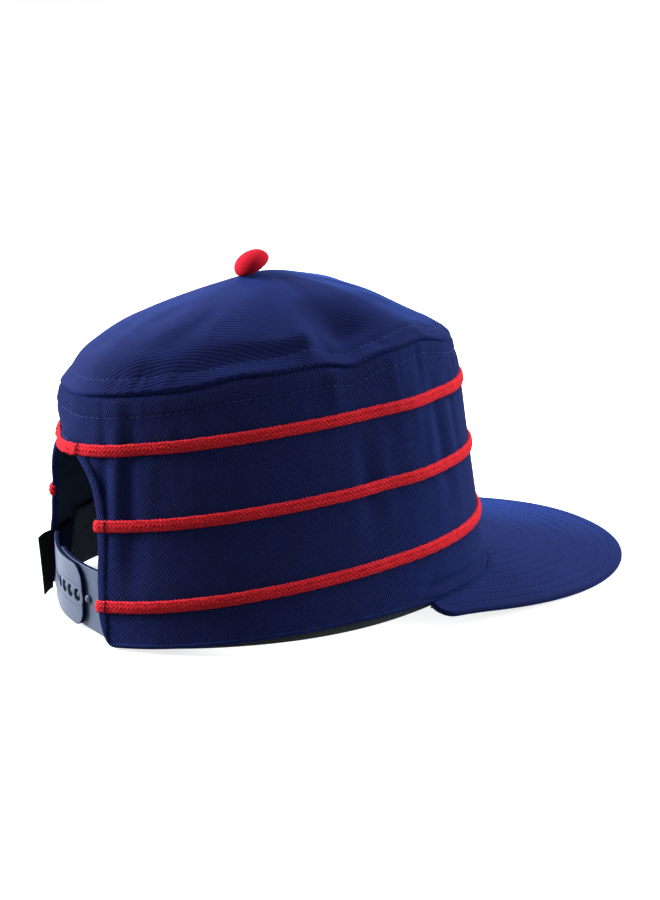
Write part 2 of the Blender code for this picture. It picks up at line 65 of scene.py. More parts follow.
# %% The crown's form
RIM_HALF_WIDTH = 0.0814
RIM_FRONT_REACH = 0.0974
RIM_BACK_REACH = 0.0993
TAPER_HEIGHT = 0.1000
TOP_HALF_WIDTH = 0.0556
TOP_FRONT_REACH = 0.0859
TOP_BACK_REACH = 0.0855
RIM_EGG_SHARE = 0.065
TOP_EGG_SHARE = 0.175
SQUARE_SHARE = 0.028
CLOTH = 0.0014
RIM_BACK_LIFT = -0.0013
RIM_SIDE_LIFT = 0.0065
RIM_FRONT_LIFT = 0.0066
EDGE_STAND = 0.0012
PEAK_HEIGHT = 0.1360
PEAK_AHEAD = 0.0020
WAVE_HEIGHT = 0.0028
FOLD_DEPTH = 0.0020
DENT_DEPTH = 0.0050
DENT_FREE_SHARE = 0.05

Knot = namedtuple("Knot", "ahead height")
SEAM = (Knot(-1.0, 0.0943), Knot(0.0, 0.1045), Knot(0.6, 0.1073), Knot(1.0, 0.1039))
SEAM_SIDE_HEIGHT = SEAM[1].height

Wave = namedtuple("Wave", "turn rise half_turn")
WAVES = (Wave(248, 0.50, 8.0), Wave(280, -1.00, 6.0), Wave(305, 0.85, 9.0), Wave(340, 0.42, 12.0))

Fold = namedtuple("Fold", "turn height inward half_turn half_height")
FOLDS = (
    Fold(157, 0.62, -0.90, 13.0, 0.24),
    Fold(223, 0.70, 0.45, 6.0, 0.35),
    Fold(284, 0.62, 0.55, 6.0, 0.30),
    Fold(296, 0.75, -0.30, 6.0, 0.25),
    Fold(308, 0.82, 0.35, 5.0, 0.25),
    Fold(75, 0.60, 0.45, 9.0, 0.30),
    Fold(40, 0.75, 0.35, 8.0, 0.25),
    Fold(180, 0.84, 1.25, 15.0, 0.12),
    Fold(165, 0.70, 1.80, 13.0, 0.08),
    Fold(342, 0.99, 0.80, 24.0, 0.045),
)

crown_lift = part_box("crown_top")[1].z - PEAK_HEIGHT
rim_front = RIM_FRONT_REACH + (TOP_FRONT_REACH - RIM_FRONT_REACH) * RIM_FRONT_LIFT / TAPER_HEIGHT
CROWN_CENTRE = np.array([0.0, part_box("crown_side")[0].y + rim_front, crown_lift])
print("crown centre in mm:", np.round(CROWN_CENTRE / MM, 2))


# %% Small tools for shapes
def lerp(low, high, share):
    return low + (high - low) * share


def ease(share):
    """A share of 0 to 1 that starts and ends slowly."""
    return share * share * (3 - 2 * share)


def swell(offset, half_span):
    """A smooth rise to 1 that has faded at about twice its half span."""
    return np.exp(-((np.asarray(offset) / half_span) ** 2))


def step_down(offset, softness):
    """A soft step from 1 to 0 where the offset passes 0."""
    return 1 / (1 + np.exp(offset / softness))


def turn_apart(turn, other):
    return (turn - other + 180) % 360 - 180


def ahead_of(turn):
    return np.cos(np.radians(turn))


def unit(vectors):
    return vectors / np.maximum(np.linalg.norm(vectors, axis=-1, keepdims=True), 1e-12)


def run_along(points):
    """The distance along a line, or down each column of a grid, to each of its points."""
    steps = np.linalg.norm(np.diff(points, axis=0), axis=-1)
    return np.concatenate([np.zeros_like(steps[:1]), np.cumsum(steps, axis=0)])


# %% Points on the crown
def rim_height(turn):
    ahead = ahead_of(turn)
    bend = (RIM_FRONT_LIFT + RIM_BACK_LIFT) / 2 - RIM_SIDE_LIFT
    return RIM_SIDE_LIFT + (RIM_FRONT_LIFT - RIM_BACK_LIFT) / 2 * ahead + bend * ahead**2


def seam_height(turn):
    """The height of the seam between wall and top: a curve through four heights, with its waves."""
    ahead = ahead_of(turn)
    height = 0.0
    for knot in SEAM:
        value = knot.height
        for other in SEAM:
            if other is not knot:
                value = value * (ahead - other.ahead) / (knot.ahead - other.ahead)
        height = height + value
    for wave in WAVES:
        height = height + WAVE_HEIGHT * wave.rise * swell(turn_apart(turn, wave.turn), wave.half_turn)
    return height


def fold_inward(turn, height):
    inward = 0.0
    for fold in FOLDS:
        across = swell(turn_apart(turn, fold.turn), fold.half_turn)
        upright = swell(height / SEAM_SIDE_HEIGHT - fold.height, fold.half_height)
        inward = inward + FOLD_DEPTH * fold.inward * across * upright
    return inward


def plan(turn, height):
    """A point on the crown's smooth outer face, seen from above."""
    share = height / TAPER_HEIGHT
    angle = np.radians(turn)
    across, ahead = np.sin(angle), np.cos(angle)
    width = lerp(RIM_HALF_WIDTH, TOP_HALF_WIDTH, share)
    front = lerp(RIM_FRONT_REACH, TOP_FRONT_REACH, share)
    back = lerp(RIM_BACK_REACH, TOP_BACK_REACH, share)
    square = 1 + SQUARE_SHARE * np.sin(2 * angle) ** 2
    egg = 1 + lerp(RIM_EGG_SHARE, TOP_EGG_SHARE, share) * ahead
    reach = np.where(ahead > 0, front, back)
    return np.stack([width * across * square * egg, -reach * ahead * square], axis=-1)


def wall(turn, height, outward=0.0):
    """Points on the crown's outer face, or that far outside it; heights start at the crown's foot."""
    turn, height = np.broadcast_arrays(np.asarray(turn, float), np.asarray(height, float))
    step = plan(turn + 0.5, height) - plan(turn - 0.5, height)
    away = unit(np.stack([step[..., 1], -step[..., 0]], axis=-1))
    flat = plan(turn, height) + away * (outward - fold_inward(turn, height))[..., None]
    return np.concatenate([flat, height[..., None]], axis=-1) + CROWN_CENTRE


def wall_normal(turn, height):
    """The way the wall faces, its slant included."""
    along = wall(turn + 0.5, height) - wall(turn - 0.5, height)
    upright = wall(turn, height + MM) - wall(turn, height - MM)
    return unit(np.cross(along, upright))


def turn_at(across, height):
    """The turn, behind the crown's middle, where the wall is this far to the wearer's left."""
    turns = np.linspace(90, 270, 721)
    return np.interp(across, wall(turns, height)[::-1, 0], turns[::-1])


def turn_at_many(across, height):
    """The same by halving, for many distances that each have a height of their own."""
    low, high = np.full(np.shape(across), 90.0), np.full(np.shape(across), 270.0)
    for _ in range(30):
        middle = (low + high) / 2
        left = wall(middle, height)[..., 0] > across
        low, high = np.where(left, middle, low), np.where(left, high, middle)
    return (low + high) / 2


# %% [markdown]
# Four kinds of thing lie on the wall. The cords climb towards the brim, the rear opening is an arch
# whose lower corners are rounded, a row of topstitching runs under the seam, and the brim is sewn to
# the wall's foot. Their lines are needed twice: where they are built, and where they press into the
# cloth.

# %% Lines on the wall
CORD_WIDTH = 0.0048
CORD_THICKNESS = 0.0021
CORD_BOW = 0.0019
Cord = namedtuple("Cord", "name middle fall")
CORDS = (Cord("lower", 0.0234, 0.0188), Cord("middle", 0.0531, 0.0176), Cord("upper", 0.0814, 0.0176))
OPENING_HALF_WIDTH = 0.0335
OPENING_HEIGHT = 0.0740
CORNER_WIDTH = 0.0110
CORNER_HEIGHT = 0.0340
ARCH_SQUARENESS = 2.4
STITCH_ROW_BACK = 8.0 * MM
STITCH_ROW_FRONT = 5.2 * MM


def cord_height(turn, cord):
    slope = cord.fall / (RIM_FRONT_REACH + RIM_BACK_REACH)
    bow = CORD_BOW * np.sin(np.radians(turn)) ** 2
    return cord.middle - slope * plan(turn, cord.middle)[..., 1] + bow


def opening_half_width(height, margin=0.0):
    """Half the rear opening's width at a height; the margin makes the arch that much larger."""
    share = np.clip(height / (OPENING_HEIGHT + margin), 0.0, 1.0)
    arch = (OPENING_HALF_WIDTH + margin) * (1 - share**ARCH_SQUARENESS) ** (1 / 3)
    drop = np.clip(1 - height / CORNER_HEIGHT, 0.0, 1.0)
    return arch + CORNER_WIDTH * (1 - np.sqrt(1 - drop * drop))


def stitch_row_drop(turn):
    """How far under the seam the wall's topstitching runs: it comes closer towards the front."""
    share = np.clip((ahead_of(turn) + 0.2) / 0.8, 0.0, 1.0)
    return lerp(STITCH_ROW_BACK, STITCH_ROW_FRONT, ease(share))


print("cord heights at the sides in mm:", {cord.name: round(cord.middle / MM, 1) for cord in CORDS})

# %% Where the brim meets the wall
BRIM_SIDE_REACH = 0.0061
BRIM_LENGTH = 0.0733
BRIM_TAIL_BACK = 0.0586
BRIM_HEIGHT = 0.0092
BRIM_FALL = 0.00634
BRIM_SIDE_DROP = 0.0066
TAIL_DIP = 0.0008
TAIL_DIP_REACH = 0.0120
FOOT_BELOW_BRIM = 1.8 * MM
BRIM_SIDE = RIM_HALF_WIDTH + BRIM_SIDE_REACH
brim_tail = BRIM_TAIL_BACK - RIM_FRONT_REACH


def brim_top(across, along):
    """The height of the brim's upper face; across and along are measured from the crown's centre."""
    behind = along + RIM_FRONT_REACH
    dip = TAIL_DIP * swell(along - brim_tail, TAIL_DIP_REACH)
    return BRIM_HEIGHT + BRIM_FALL * behind / BRIM_LENGTH - BRIM_SIDE_DROP * (across / BRIM_SIDE) ** 2 - dip


side_turns = np.linspace(0, 90, 361)
tail_turn = float(np.interp(brim_tail, plan(side_turns, BRIM_HEIGHT)[:, 1], side_turns))


def foot_height(turn):
    """The wall's lower edge: the rim, let down to the brim where the two are sewn together."""
    rim = rim_height(turn)
    join = brim_top(*np.moveaxis(plan(turn, BRIM_HEIGHT), -1, 0))
    beside = step_down(np.abs(turn_apart(turn, 0)) - tail_turn + 1, 1.0)
    return rim - np.maximum(rim - join + FOOT_BELOW_BRIM, 0.0) * beside


print("brim meets the wall up to", round(tail_turn, 1), "degrees either way")

# %% [markdown]
# A mesh from a grid of points is all that the cloth needs. The grid keeps a map in real metres, so a
# weave follows the cloth round the crown instead of being projected through it. Faces can be left
# out, which is how the rear opening is made: its ragged edge hides in the folded hem.


# %% Grid meshes
def grid_mesh(name, points, cloth_map=None, keep=None, caps=False):
    """A surface through rings of points, with its map in metres, ready to be given thickness."""
    rows, columns = points.shape[:2]
    row, column = np.meshgrid(np.arange(rows - 1), np.arange(columns), indexing="ij")
    low, after = row * columns, (column + 1) % columns
    quads = np.stack([low + column, low + after, low + columns + after, low + columns + column], axis=-1)
    kept = np.ones(row.shape, bool) if keep is None else keep
    quads, row, column = quads[kept], row[kept], column[kept]
    used, faces = np.unique(quads, return_inverse=True)
    faces = faces.reshape(quads.shape).tolist()
    if caps:
        faces += [list(range(columns))[::-1], list(range((rows - 1) * columns, rows * columns))]
    mesh = bpy.data.meshes.new(name)
    mesh.from_pydata(points.reshape(-1, 3)[used].tolist(), [], faces)
    if cloth_map is not None:
        corners = [cloth_map[row, column], cloth_map[row, column + 1]]
        corners += [cloth_map[row + 1, column + 1], cloth_map[row + 1, column]]
        layer = mesh.uv_layers.new(name="cloth")
        flat = np.zeros((len(mesh.loops), 2))
        flat[: len(quads) * 4] = np.stack(corners, axis=1).reshape(-1, 2)
        layer.data.foreach_set("uv", flat.ravel())
    mesh.validate()
    mesh.shade_smooth()
    return mesh


def grid_normals(points):
    """The way a grid of rings faces at each point."""
    along = np.roll(points, -1, axis=1) - np.roll(points, 1, axis=1)
    return unit(np.cross(along, np.gradient(points, axis=0)))


# %% From meshes to pieces
def place_piece(name, mesh, *looks):
    made = bpy.data.objects.new(name, mesh)
    bpy.context.scene.collection.objects.link(made)
    for look in looks:
        mesh.materials.append(look)
    print(name, "is placed with", len(mesh.polygons), "faces")
    return made


def settle(piece):
    """Turns the evaluated object into a plain mesh and takes its modifiers off."""
    view = bpy.context.evaluated_depsgraph_get()
    evaluated = piece.evaluated_get(view)
    mesh = bpy.data.meshes.new_from_object(evaluated, preserve_all_data_layers=True, depsgraph=view)
    piece.modifiers.clear()
    piece.data = mesh
    mesh.name = piece.name
    print(piece.name, "has", sum(len(face.vertices) - 2 for face in mesh.polygons), "triangles")
    return piece


def thicken(piece, thickness):
    """Gives a cloth surface its thickness, inwards, with the second material on the inner face."""
    shell = piece.modifiers.new("thickness", "SOLIDIFY")
    shell.thickness = thickness
    shell.offset = -1.0
    shell.material_offset = len(piece.data.materials) - 1
    return settle(piece)


def turn_out(work):
    """Turns every face of a closed shell outwards."""
    bmesh.ops.recalc_face_normals(work, faces=work.faces)
    if work.calc_volume(signed=True) < 0:
        bmesh.ops.reverse_faces(work, faces=work.faces)


def face_out(mesh):
    """Welds what coincides in a closed shell and turns its faces outwards."""
    work = bmesh.new()
    work.from_mesh(mesh)
    bmesh.ops.remove_doubles(work, verts=work.verts, dist=1e-7)
    turn_out(work)
    work.to_mesh(mesh)
    work.free()
    return mesh


# %% [markdown]
# Every material and node tree is put together with one small function. It adds a node with its
# settings and feeds its inputs, by name or in their order, from numbers, sockets or other nodes.


# %% Small tools for node trees
MATH = "ShaderNodeMath"
VECTOR = "ShaderNodeVectorMath"
COMBINE = "ShaderNodeCombineXYZ"
NOISE = "ShaderNodeTexNoise"
RANGE = "ShaderNodeMapRange"
ATTRIBUTE = "GeometryNodeInputNamedAttribute"


def linear(code):
    """An sRGB hex colour as linear RGBA."""
    channels = [int(code[i : i + 2], 16) / 255 for i in (0, 2, 4)]
    return (*[c / 12.92 if c <= 0.04045 else ((c + 0.055) / 1.055) ** 2.4 for c in channels], 1.0)


def add(tree, kind, feeds=(), **settings):
    """One node. A node that feeds it gives its first output in use; a list feeds one input many times."""
    node = tree.nodes.new(kind)
    for name, value in settings.items():
        setattr(node, name, value)
    for name, feed in (feeds if isinstance(feeds, dict) else dict(enumerate(feeds))).items():
        if isinstance(name, str):
            socket = next(socket for socket in node.inputs if socket.name == name and socket.enabled)
        else:
            socket = node.inputs[name]
        for source in feed if isinstance(feed, list) else [feed]:
            if isinstance(source, bpy.types.Node):
                source = next(output for output in source.outputs if output.enabled)
            if isinstance(source, bpy.types.NodeSocket):
                tree.links.new(source, socket)
            else:
                socket.default_value = source
    return node


def new_finish(name, roughness, **plain):
    """A material with its shader; values that are the same all over go straight on its sockets."""
    look = bpy.data.materials.new(name)
    look.use_nodes = True
    tree = look.node_tree
    tree.nodes.clear()
    shader = add(tree, "ShaderNodeBsdfPrincipled", {"Roughness": roughness})
    for socket, value in plain.items():
        shader.inputs[socket.replace("_", " ")].default_value = value
    add(tree, "ShaderNodeOutputMaterial", (shader,))
    return look, tree, shader


def colour_and_relief(tree, shader, share, tones, height, depth):
    """Feeds a shader with a colour between two tones, and with a relief that deep in millimetres."""
    colours = {"Factor": share, "A": linear(tones[0]), "B": linear(tones[1])}
    colour = add(tree, "ShaderNodeMix", colours, data_type="RGBA")
    tree.links.new(colour.outputs[2], shader.inputs["Base Color"])
    bump = add(tree, "ShaderNodeBump", {"Height": height, "Strength": 1.0, "Distance": depth * MM})
    tree.links.new(bump.outputs["Normal"], shader.inputs["Normal"])


# %% [markdown]
# Finishes. The cloth is wool-blend twill: thick yarns that pass over two and under one, so that fine
# ribs climb it at a slant. A rib is about 0.9 mm wide, two pixels here, so it is drawn at its real
# size. It gives the eye a soft sheen, ribs that catch light on one flank, and a slight unevenness
# where the dye took more or less. The ribs' crests are also painted lighter, a painted highlight, and
# the furrows between them darker, a painted shade. The ribs are worn flat in small patches, and
# pressed flat towards the crown's peak. Every pattern is worked out from its spacing in millimetres.

# %% Wool twill
RIB_SPACING = 0.90 * MM
FLOAT_LENGTH = 1.3 * MM
FLOAT_SHARE = 0.15
FLOAT_STEP = 0.37
WANDER_SIZE = 14.0 * MM
WANDER_SHARE = 0.35
MOTTLE_SIZE = 9.0 * MM
MOTTLE_SHARE = 0.7
WORN_SIZE = 3.5 * MM
WORN_RANGE = {"From Min": 0.3, "From Max": 0.7, "To Min": 0.5, "To Max": 1.3}
PRESSED_RANGE = {"From Min": 0.106, "From Max": 0.128, "To Min": 1.0, "To Max": 0.25}
SHEEN = linear("2a58ba")


def twill(name, ground, rib_highlight, slant, mapped=True, depth=0.17, contrast=0.40, spacing=RIB_SPACING):
    """Twill cloth whose ribs climb at a slant in degrees, on the piece's map or on its plan."""
    look, tree, shader = new_finish(
        name, 0.88, Sheen_Weight=0.8, Sheen_Roughness=0.35, Sheen_Tint=SHEEN, Specular_IOR_Level=0.10
    )
    place = add(tree, "ShaderNodeTexCoord").outputs["Object"]
    source = add(tree, "ShaderNodeUVMap", uv_map="cloth") if mapped else place
    turn = {"Vector": source, "Angle": -math.radians(slant)}
    turned = add(tree, "ShaderNodeVectorRotate", turn, rotation_type="Z_AXIS")
    axes = add(tree, "ShaderNodeSeparateXYZ", (turned,))
    wander = add(tree, NOISE, {"Vector": place, "Scale": 1 / WANDER_SIZE, "Detail": 2.0})
    drift = add(tree, MATH, (wander, WANDER_SHARE), operation="MULTIPLY")
    count = add(tree, MATH, (axes.outputs["Y"], 1 / spacing, drift), operation="MULTIPLY_ADD")
    rib = add(tree, MATH, (add(tree, MATH, (count, 2 * math.pi), operation="MULTIPLY"),), operation="SINE")
    whole = add(tree, MATH, (count,), operation="FLOOR")
    step = add(tree, MATH, (whole, FLOAT_STEP), operation="MULTIPLY")
    along = add(tree, MATH, (axes.outputs["X"], 1 / FLOAT_LENGTH, step), operation="MULTIPLY_ADD")
    floats = add(tree, MATH, (add(tree, MATH, (along, 2 * math.pi), operation="MULTIPLY"),), operation="SINE")
    woven = add(tree, MATH, (floats, FLOAT_SHARE, rib), operation="MULTIPLY_ADD")
    worn = add(tree, NOISE, {"Vector": place, "Scale": 1 / WORN_SIZE, "Detail": 2.0})
    firm = add(tree, RANGE, {"Value": worn, **WORN_RANGE})
    level = add(tree, "ShaderNodeSeparateXYZ", (place,))
    pressed = add(tree, RANGE, {"Value": level.outputs["Z"], **PRESSED_RANGE})
    relief = add(tree, MATH, (woven, firm), operation="MULTIPLY")
    relief = add(tree, MATH, (relief, pressed), operation="MULTIPLY")
    # Painted shade and highlight: the colour follows the ribs' relief, lighter on the crests and darker in
    # the furrows.
    tone = add(tree, MATH, (relief, contrast, 0.5), operation="MULTIPLY_ADD")
    mottle = add(tree, NOISE, {"Vector": place, "Scale": 1 / MOTTLE_SIZE, "Detail": 4.0})
    blotch = add(tree, MATH, (mottle, MOTTLE_SHARE, -MOTTLE_SHARE / 2), operation="MULTIPLY_ADD")
    lit = add(tree, MATH, (tone, blotch), operation="ADD", use_clamp=True)
    colour_and_relief(tree, shader, lit, (ground, rib_highlight), relief, depth)
    return look


# One navy in two tones: the ground is the furrows' painted shade and the rib highlight is the crests' painted
# highlight.
NAVY_GROUND, NAVY_RIB_HIGHLIGHT = "0d1541", "1b296c"
wall_twill = twill("wool_twill_navy_wall", NAVY_GROUND, NAVY_RIB_HIGHLIGHT, 63)
hem_twill = twill("wool_twill_navy_hem", NAVY_GROUND, NAVY_RIB_HIGHLIGHT, 28)
top_twill = twill(
    "wool_twill_navy_top", NAVY_GROUND, NAVY_RIB_HIGHLIGHT, 63.5, mapped=False, depth=0.06, contrast=0.26
)
brim_twill = twill(
    "wool_twill_navy_brim", NAVY_GROUND, NAVY_RIB_HIGHLIGHT, -34.5, mapped=False, depth=0.04, contrast=0.25
)
# The cloths that hardly show are plainer weaves of the same make, with finer ribs.
lining = twill("charcoal_backing_cloth", "202526", "3a4243", 45, mapped=False, spacing=0.7 * MM)
under_cotton = twill("grey_cotton_under_brim", "8d93a1", "b3b8c4", 20, mapped=False, spacing=0.6 * MM)
band_cotton = twill("grey_green_band_twill", "333b3b", "586261", 45, spacing=0.8 * MM)
print("twill ribs every", RIB_SPACING / MM, "mm")


# %% [markdown]
# Yarn, thread, felted cloth, plastic and the woven tab each get a finish of their own. Their colour
# and surface wander between two tones at the size of their grain, which is given in millimetres.


# %% Yarn, thread, plastic and label
def grainy(name, dark, light, size, roughness, depth, **plain):
    """A finish that wanders between two tones; the grain's size and depth are in millimetres."""
    look, tree, shader = new_finish(name, roughness, **plain)
    place = add(tree, "ShaderNodeTexCoord").outputs["Object"]
    grain = add(tree, NOISE, {"Vector": place, "Scale": 1 / (size * MM), "Detail": 5.0})
    spread = add(tree, RANGE, {"Value": grain, "From Min": 0.3, "From Max": 0.7})
    colour_and_relief(tree, shader, spread, (dark, light), grain, depth)
    return look


# Braided cotton is matt and hairy: tiny fibres scatter the light, so it glows a little at its edges.
cord_yarn = grainy(
    "braided_cotton_red", "e2182a", "ff3846", 0.9, 0.85, 0.05,
    Specular_IOR_Level=0.1, Sheen_Weight=0.5, Sheen_Tint=linear("ff5a66"),
)
# The button's cloth is pulled tight, so its grain is finer, and it is matt all over.
button_cloth = grainy("covered_button_red", "be162a", "de2238", 0.5, 0.9, 0.05, Specular_IOR_Level=0.05)
# Spun polyester thread: the topstitching's is paler than the cloth, and the rest sinks into it.
pale_thread = grainy("polyester_thread_blue", "2c4180", "5063a2", 1.0, 0.7, 0.02, Specular_IOR_Level=0.1)
navy_thread = grainy("polyester_thread_navy", "0a1030", "141f4c", 1.0, 0.8, 0.02, Specular_IOR_Level=0.05)
brim_thread = grainy("polyester_thread_brim", "121c50", "1c2a6a", 1.0, 0.8, 0.02, Specular_IOR_Level=0.05)
# Moulded PVC has a low gloss and the faint grain of its mould; its pale slate is partly painted reflection.
strap_plastic = grainy("moulded_pvc_slate", "526079", "5a6783", 2.0, 0.45, 0.01, Specular_IOR_Level=0.2)
# The cut edges, back and engraved floor get a dark navy copy of it that is painted shade.
strap_painted_shade = grainy("moulded_pvc_slate_cut_edge", "1e2748", "262f54", 2.0, 0.8, 0.01, Specular_IOR_Level=0.0)
# The label is woven so tightly that only a fine dark grain is left of its threads.
label_weave = grainy("woven_label_black", "090b0e", "15181c", 0.4, 0.85, 0.05, Specular_IOR_Level=0.1)
print("finishes:", [look.name for look in bpy.data.materials])

# %% [markdown]
# The wall. Under the seam the cloth is gathered a little by its topstitching, which leaves short
# puckers side by side. Longer soft folds run down from them. They are a scatter of small swellings,
# drawn from a fixed seed, with more of them where the photograph has them, so the folds are real
# geometry that the light can graze. Over the brim the wall rolls outwards, with a groove above the
# roll.

# %% Pleats and puckers
Pleat = namedtuple("Pleat", "turn height outward half_turn half_height")
SOFT_FOLDS = (
    Pleat(209, 0.060, -1.2, 2.6, 0.026),
    Pleat(214, 0.060, 0.9, 2.6, 0.024),
    Pleat(218.5, 0.058, -1.2, 2.4, 0.026),
    Pleat(224, 0.060, 0.8, 2.8, 0.024),
    Pleat(220, 0.036, -0.7, 4.0, 0.014),
    Pleat(274, 0.094, 0.9, 2.2, 0.010),
    Pleat(279.5, 0.057, -1.0, 2.4, 0.018),
    Pleat(285, 0.062, 0.8, 2.4, 0.018),
    Pleat(302, 0.068, 0.7, 2.2, 0.022),
    Pleat(306.5, 0.068, -1.0, 2.0, 0.022),
    Pleat(311.5, 0.066, 0.8, 2.2, 0.022),
    Pleat(60, 0.062, -0.9, 3.0, 0.024),
    Pleat(95, 0.058, 0.8, 3.4, 0.022),
    Pleat(140, 0.066, -0.8, 2.6, 0.020),
)
GATHERED = ((214, 16), (305, 17), (334, 13), (150, 14), (60, 20), (20, 16))
FAINT = 0.25
Pucker = namedtuple("Pucker", "turn away size half_turn reach")


def scatter_puckers(seed, count, size, away, half_turn, reach):
    """Puckers beside the seam at random; away from the gathered turns they are faint."""
    draw = random.Random(seed)
    puckers = []
    for _ in range(count):
        turn = draw.uniform(0, 360)
        near = max(math.exp(-((turn_apart(turn, strong) / spread) ** 2)) for strong, spread in GATHERED)
        height = draw.uniform(-1, 1) * size * MM * (FAINT + near)
        place = draw.uniform(*away) * MM
        puckers.append(Pucker(turn, place, height, draw.uniform(*half_turn), draw.uniform(*reach) * MM))
    return puckers


def puckered(puckers, turn, away):
    """The puckers' height at a turn and a distance from the seam."""
    total = 0.0
    for pucker in puckers:
        across = swell(turn_apart(turn, pucker.turn), pucker.half_turn)
        total = total + pucker.size * across * swell(away - pucker.away, pucker.reach)
    return total


short_puckers = scatter_puckers(7, 150, 0.42, (4, 8), (0.8, 1.7), (5, 8))
long_puckers = scatter_puckers(8, 90, 0.60, (10, 34), (1.1, 2.4), (9, 20))
print("the wall has", len(short_puckers) + len(long_puckers), "puckers and", len(SOFT_FOLDS), "soft folds")

# %% The wall's relief
CREASE_DEPTH = 2.6 * MM
CREASE_REACH = 0.6 * MM
FLAT_SEAMS = ((0, 34), (160, 15))
FLAT_SEAM_SHARE = 0.6
SEAM_ALLOWANCE = 0.35 * MM
ALLOWANCE_EDGE = 0.25 * MM
STITCH_SINK = 0.30 * MM
STITCH_SINK_REACH = 0.6 * MM
CORD_SINK = 0.40 * MM
CORD_SINK_REACH = 2.6 * MM
ROLL_OUT = 1.4 * MM
ROLL_HEIGHT = 1.9 * MM
ROLL_REACH = 1.3 * MM
GROOVE_IN = 1.3 * MM
GROOVE_HEIGHT = 5.0 * MM
GROOVE_REACH = 1.5 * MM
FOOT_ROUND = 1.2 * MM
FOOT_TUCK = 0.7 * MM


def seam_flatness(turn):
    """Nearly 1 at the front and over the opening's left, where the seam lies flat, and 0 elsewhere."""
    return sum(swell(turn_apart(turn, flat), spread) for flat, spread in FLAT_SEAMS)


def wall_relief(turn, height):
    """How far the sewn cloth stands out from the smooth wall."""
    under = seam_height(turn) - height
    row = stitch_row_drop(turn)
    crease = CREASE_DEPTH * (1 - FLAT_SEAM_SHARE * seam_flatness(turn))
    outward = -crease * np.exp(-np.maximum(under, 0.0) / CREASE_REACH)
    outward = outward + SEAM_ALLOWANCE * step_down(under - row, ALLOWANCE_EDGE)
    outward = outward - STITCH_SINK * swell(under - row, STITCH_SINK_REACH)
    outward = outward + puckered(short_puckers, turn, under) + puckered(long_puckers, turn, under)
    for pleat in SOFT_FOLDS:
        across = swell(turn_apart(turn, pleat.turn), pleat.half_turn)
        outward = outward + pleat.outward * MM * across * swell(height - pleat.height, pleat.half_height)
    for cord in CORDS:
        outward = outward - CORD_SINK * swell(height - cord_height(turn, cord), CORD_SINK_REACH)
    over_brim = height - brim_top(*np.moveaxis(plan(turn, height), -1, 0))
    roll = ROLL_OUT * swell(over_brim - ROLL_HEIGHT, ROLL_REACH)
    roll = roll - GROOVE_IN * swell(over_brim - GROOVE_HEIGHT, GROOVE_REACH)
    outward = outward + roll * step_down(np.abs(turn_apart(turn, 0)) - tail_turn - 1, 1.2)
    corner = np.clip(1 - (height - foot_height(turn)) / FOOT_ROUND, 0.0, 1.0)
    return outward - FOOT_TUCK * (1 - np.sqrt(1 - corner**2))


# %% The wall piece, open at the back
WALL_COLUMNS = 560
WALL_ROWS = 76
WALL_BUNCHING = 0.45
TUCKED_UNDER = 0.9 * MM
HEM_HIDE = 1.0 * MM
wall_turns = 180 + np.arange(WALL_COLUMNS + 1) * 360 / WALL_COLUMNS
girth_at = run_along(plan(wall_turns, 0.05))
even = np.linspace(0, 1, WALL_ROWS)
wall_shares = (1 - WALL_BUNCHING) * even + WALL_BUNCHING * (1 - np.cos(math.pi * even)) / 2
turns, shares = np.meshgrid(wall_turns, wall_shares)
heights = lerp(foot_height(turns), seam_height(turns) + TUCKED_UNDER, shares)
wall_map = np.stack([np.broadcast_to(girth_at, heights.shape), heights], axis=-1)
turns, heights = turns[:, :-1], heights[:, :-1]
wall_points = wall(turns, heights, wall_relief(turns, heights))

in_opening = np.abs(wall_points[..., 0]) < opening_half_width(heights, HEM_HIDE)
in_opening &= wall_points[..., 1] > CROWN_CENTRE[1]
in_opening &= heights < OPENING_HEIGHT + HEM_HIDE
touched = in_opening | np.roll(in_opening, -1, axis=1)
touched = touched[:-1] | touched[1:]
wall_mesh = grid_mesh("crown_wall_cloth", wall_points, wall_map, keep=~touched)
crown_wall = thicken(place_piece("crown_wall_cloth", wall_mesh, wall_twill, lining), CLOTH)
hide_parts("crown_side")
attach(crown_wall, BODY)
print("wall is", round(girth_at[-1] / MM), "mm round at its middle")

# %% [markdown]
# The top panel is a shallow tent of the same twill, cut flat, so its weave keeps one direction seen
# from above. Its edge is turned under and sewn to the wall: it rolls over the seam in a small lip,
# and a second row of topstitching holds the turned edge down. The dents are where the empty crown
# has sunk, and negative ones stand proud, as the creases beside a dent do.

# %% The top panel's form
Rise = namedtuple("Rise", "inward at_back at_front")
TENT = (
    Rise(0.000, 0.000, 0.000),
    Rise(0.035, 0.085, 0.070),
    Rise(0.090, 0.258, 0.190),
    Rise(0.180, 0.405, 0.310),
    Rise(0.300, 0.550, 0.470),
    Rise(0.440, 0.675, 0.660),
    Rise(0.600, 0.786, 0.815),
    Rise(0.760, 0.880, 0.920),
    Rise(0.900, 0.955, 0.985),
    Rise(1.000, 1.000, 1.000),
)
Dent = namedtuple("Dent", "turn inward depth half_turn half_inward")
DENTS = (
    Dent(284, 0.20, 1.00, 11.0, 0.16),
    Dent(268, 0.20, -0.35, 5.0, 0.16),
    Dent(248, 0.09, 0.35, 16.0, 0.06),
    Dent(60, 0.22, 0.45, 14.0, 0.16),
    Dent(120, 0.12, 0.35, 16.0, 0.10),
    Dent(346, 0.09, -0.12, 20.0, 0.07),
    Dent(258, 0.07, 0.20, 20.0, 0.05),
    Dent(288, 0.16, 0.25, 8.0, 0.10),
    Dent(269, 0.12, -0.26, 2.4, 0.09),
    Dent(274.5, 0.12, 0.22, 2.8, 0.08),
    Dent(256, 0.135, -0.12, 11.0, 0.04),
)
PEAK = np.array([0.0, -PEAK_AHEAD, PEAK_HEIGHT]) + CROWN_CENTRE
LIP_RADIUS = 1.2 * MM
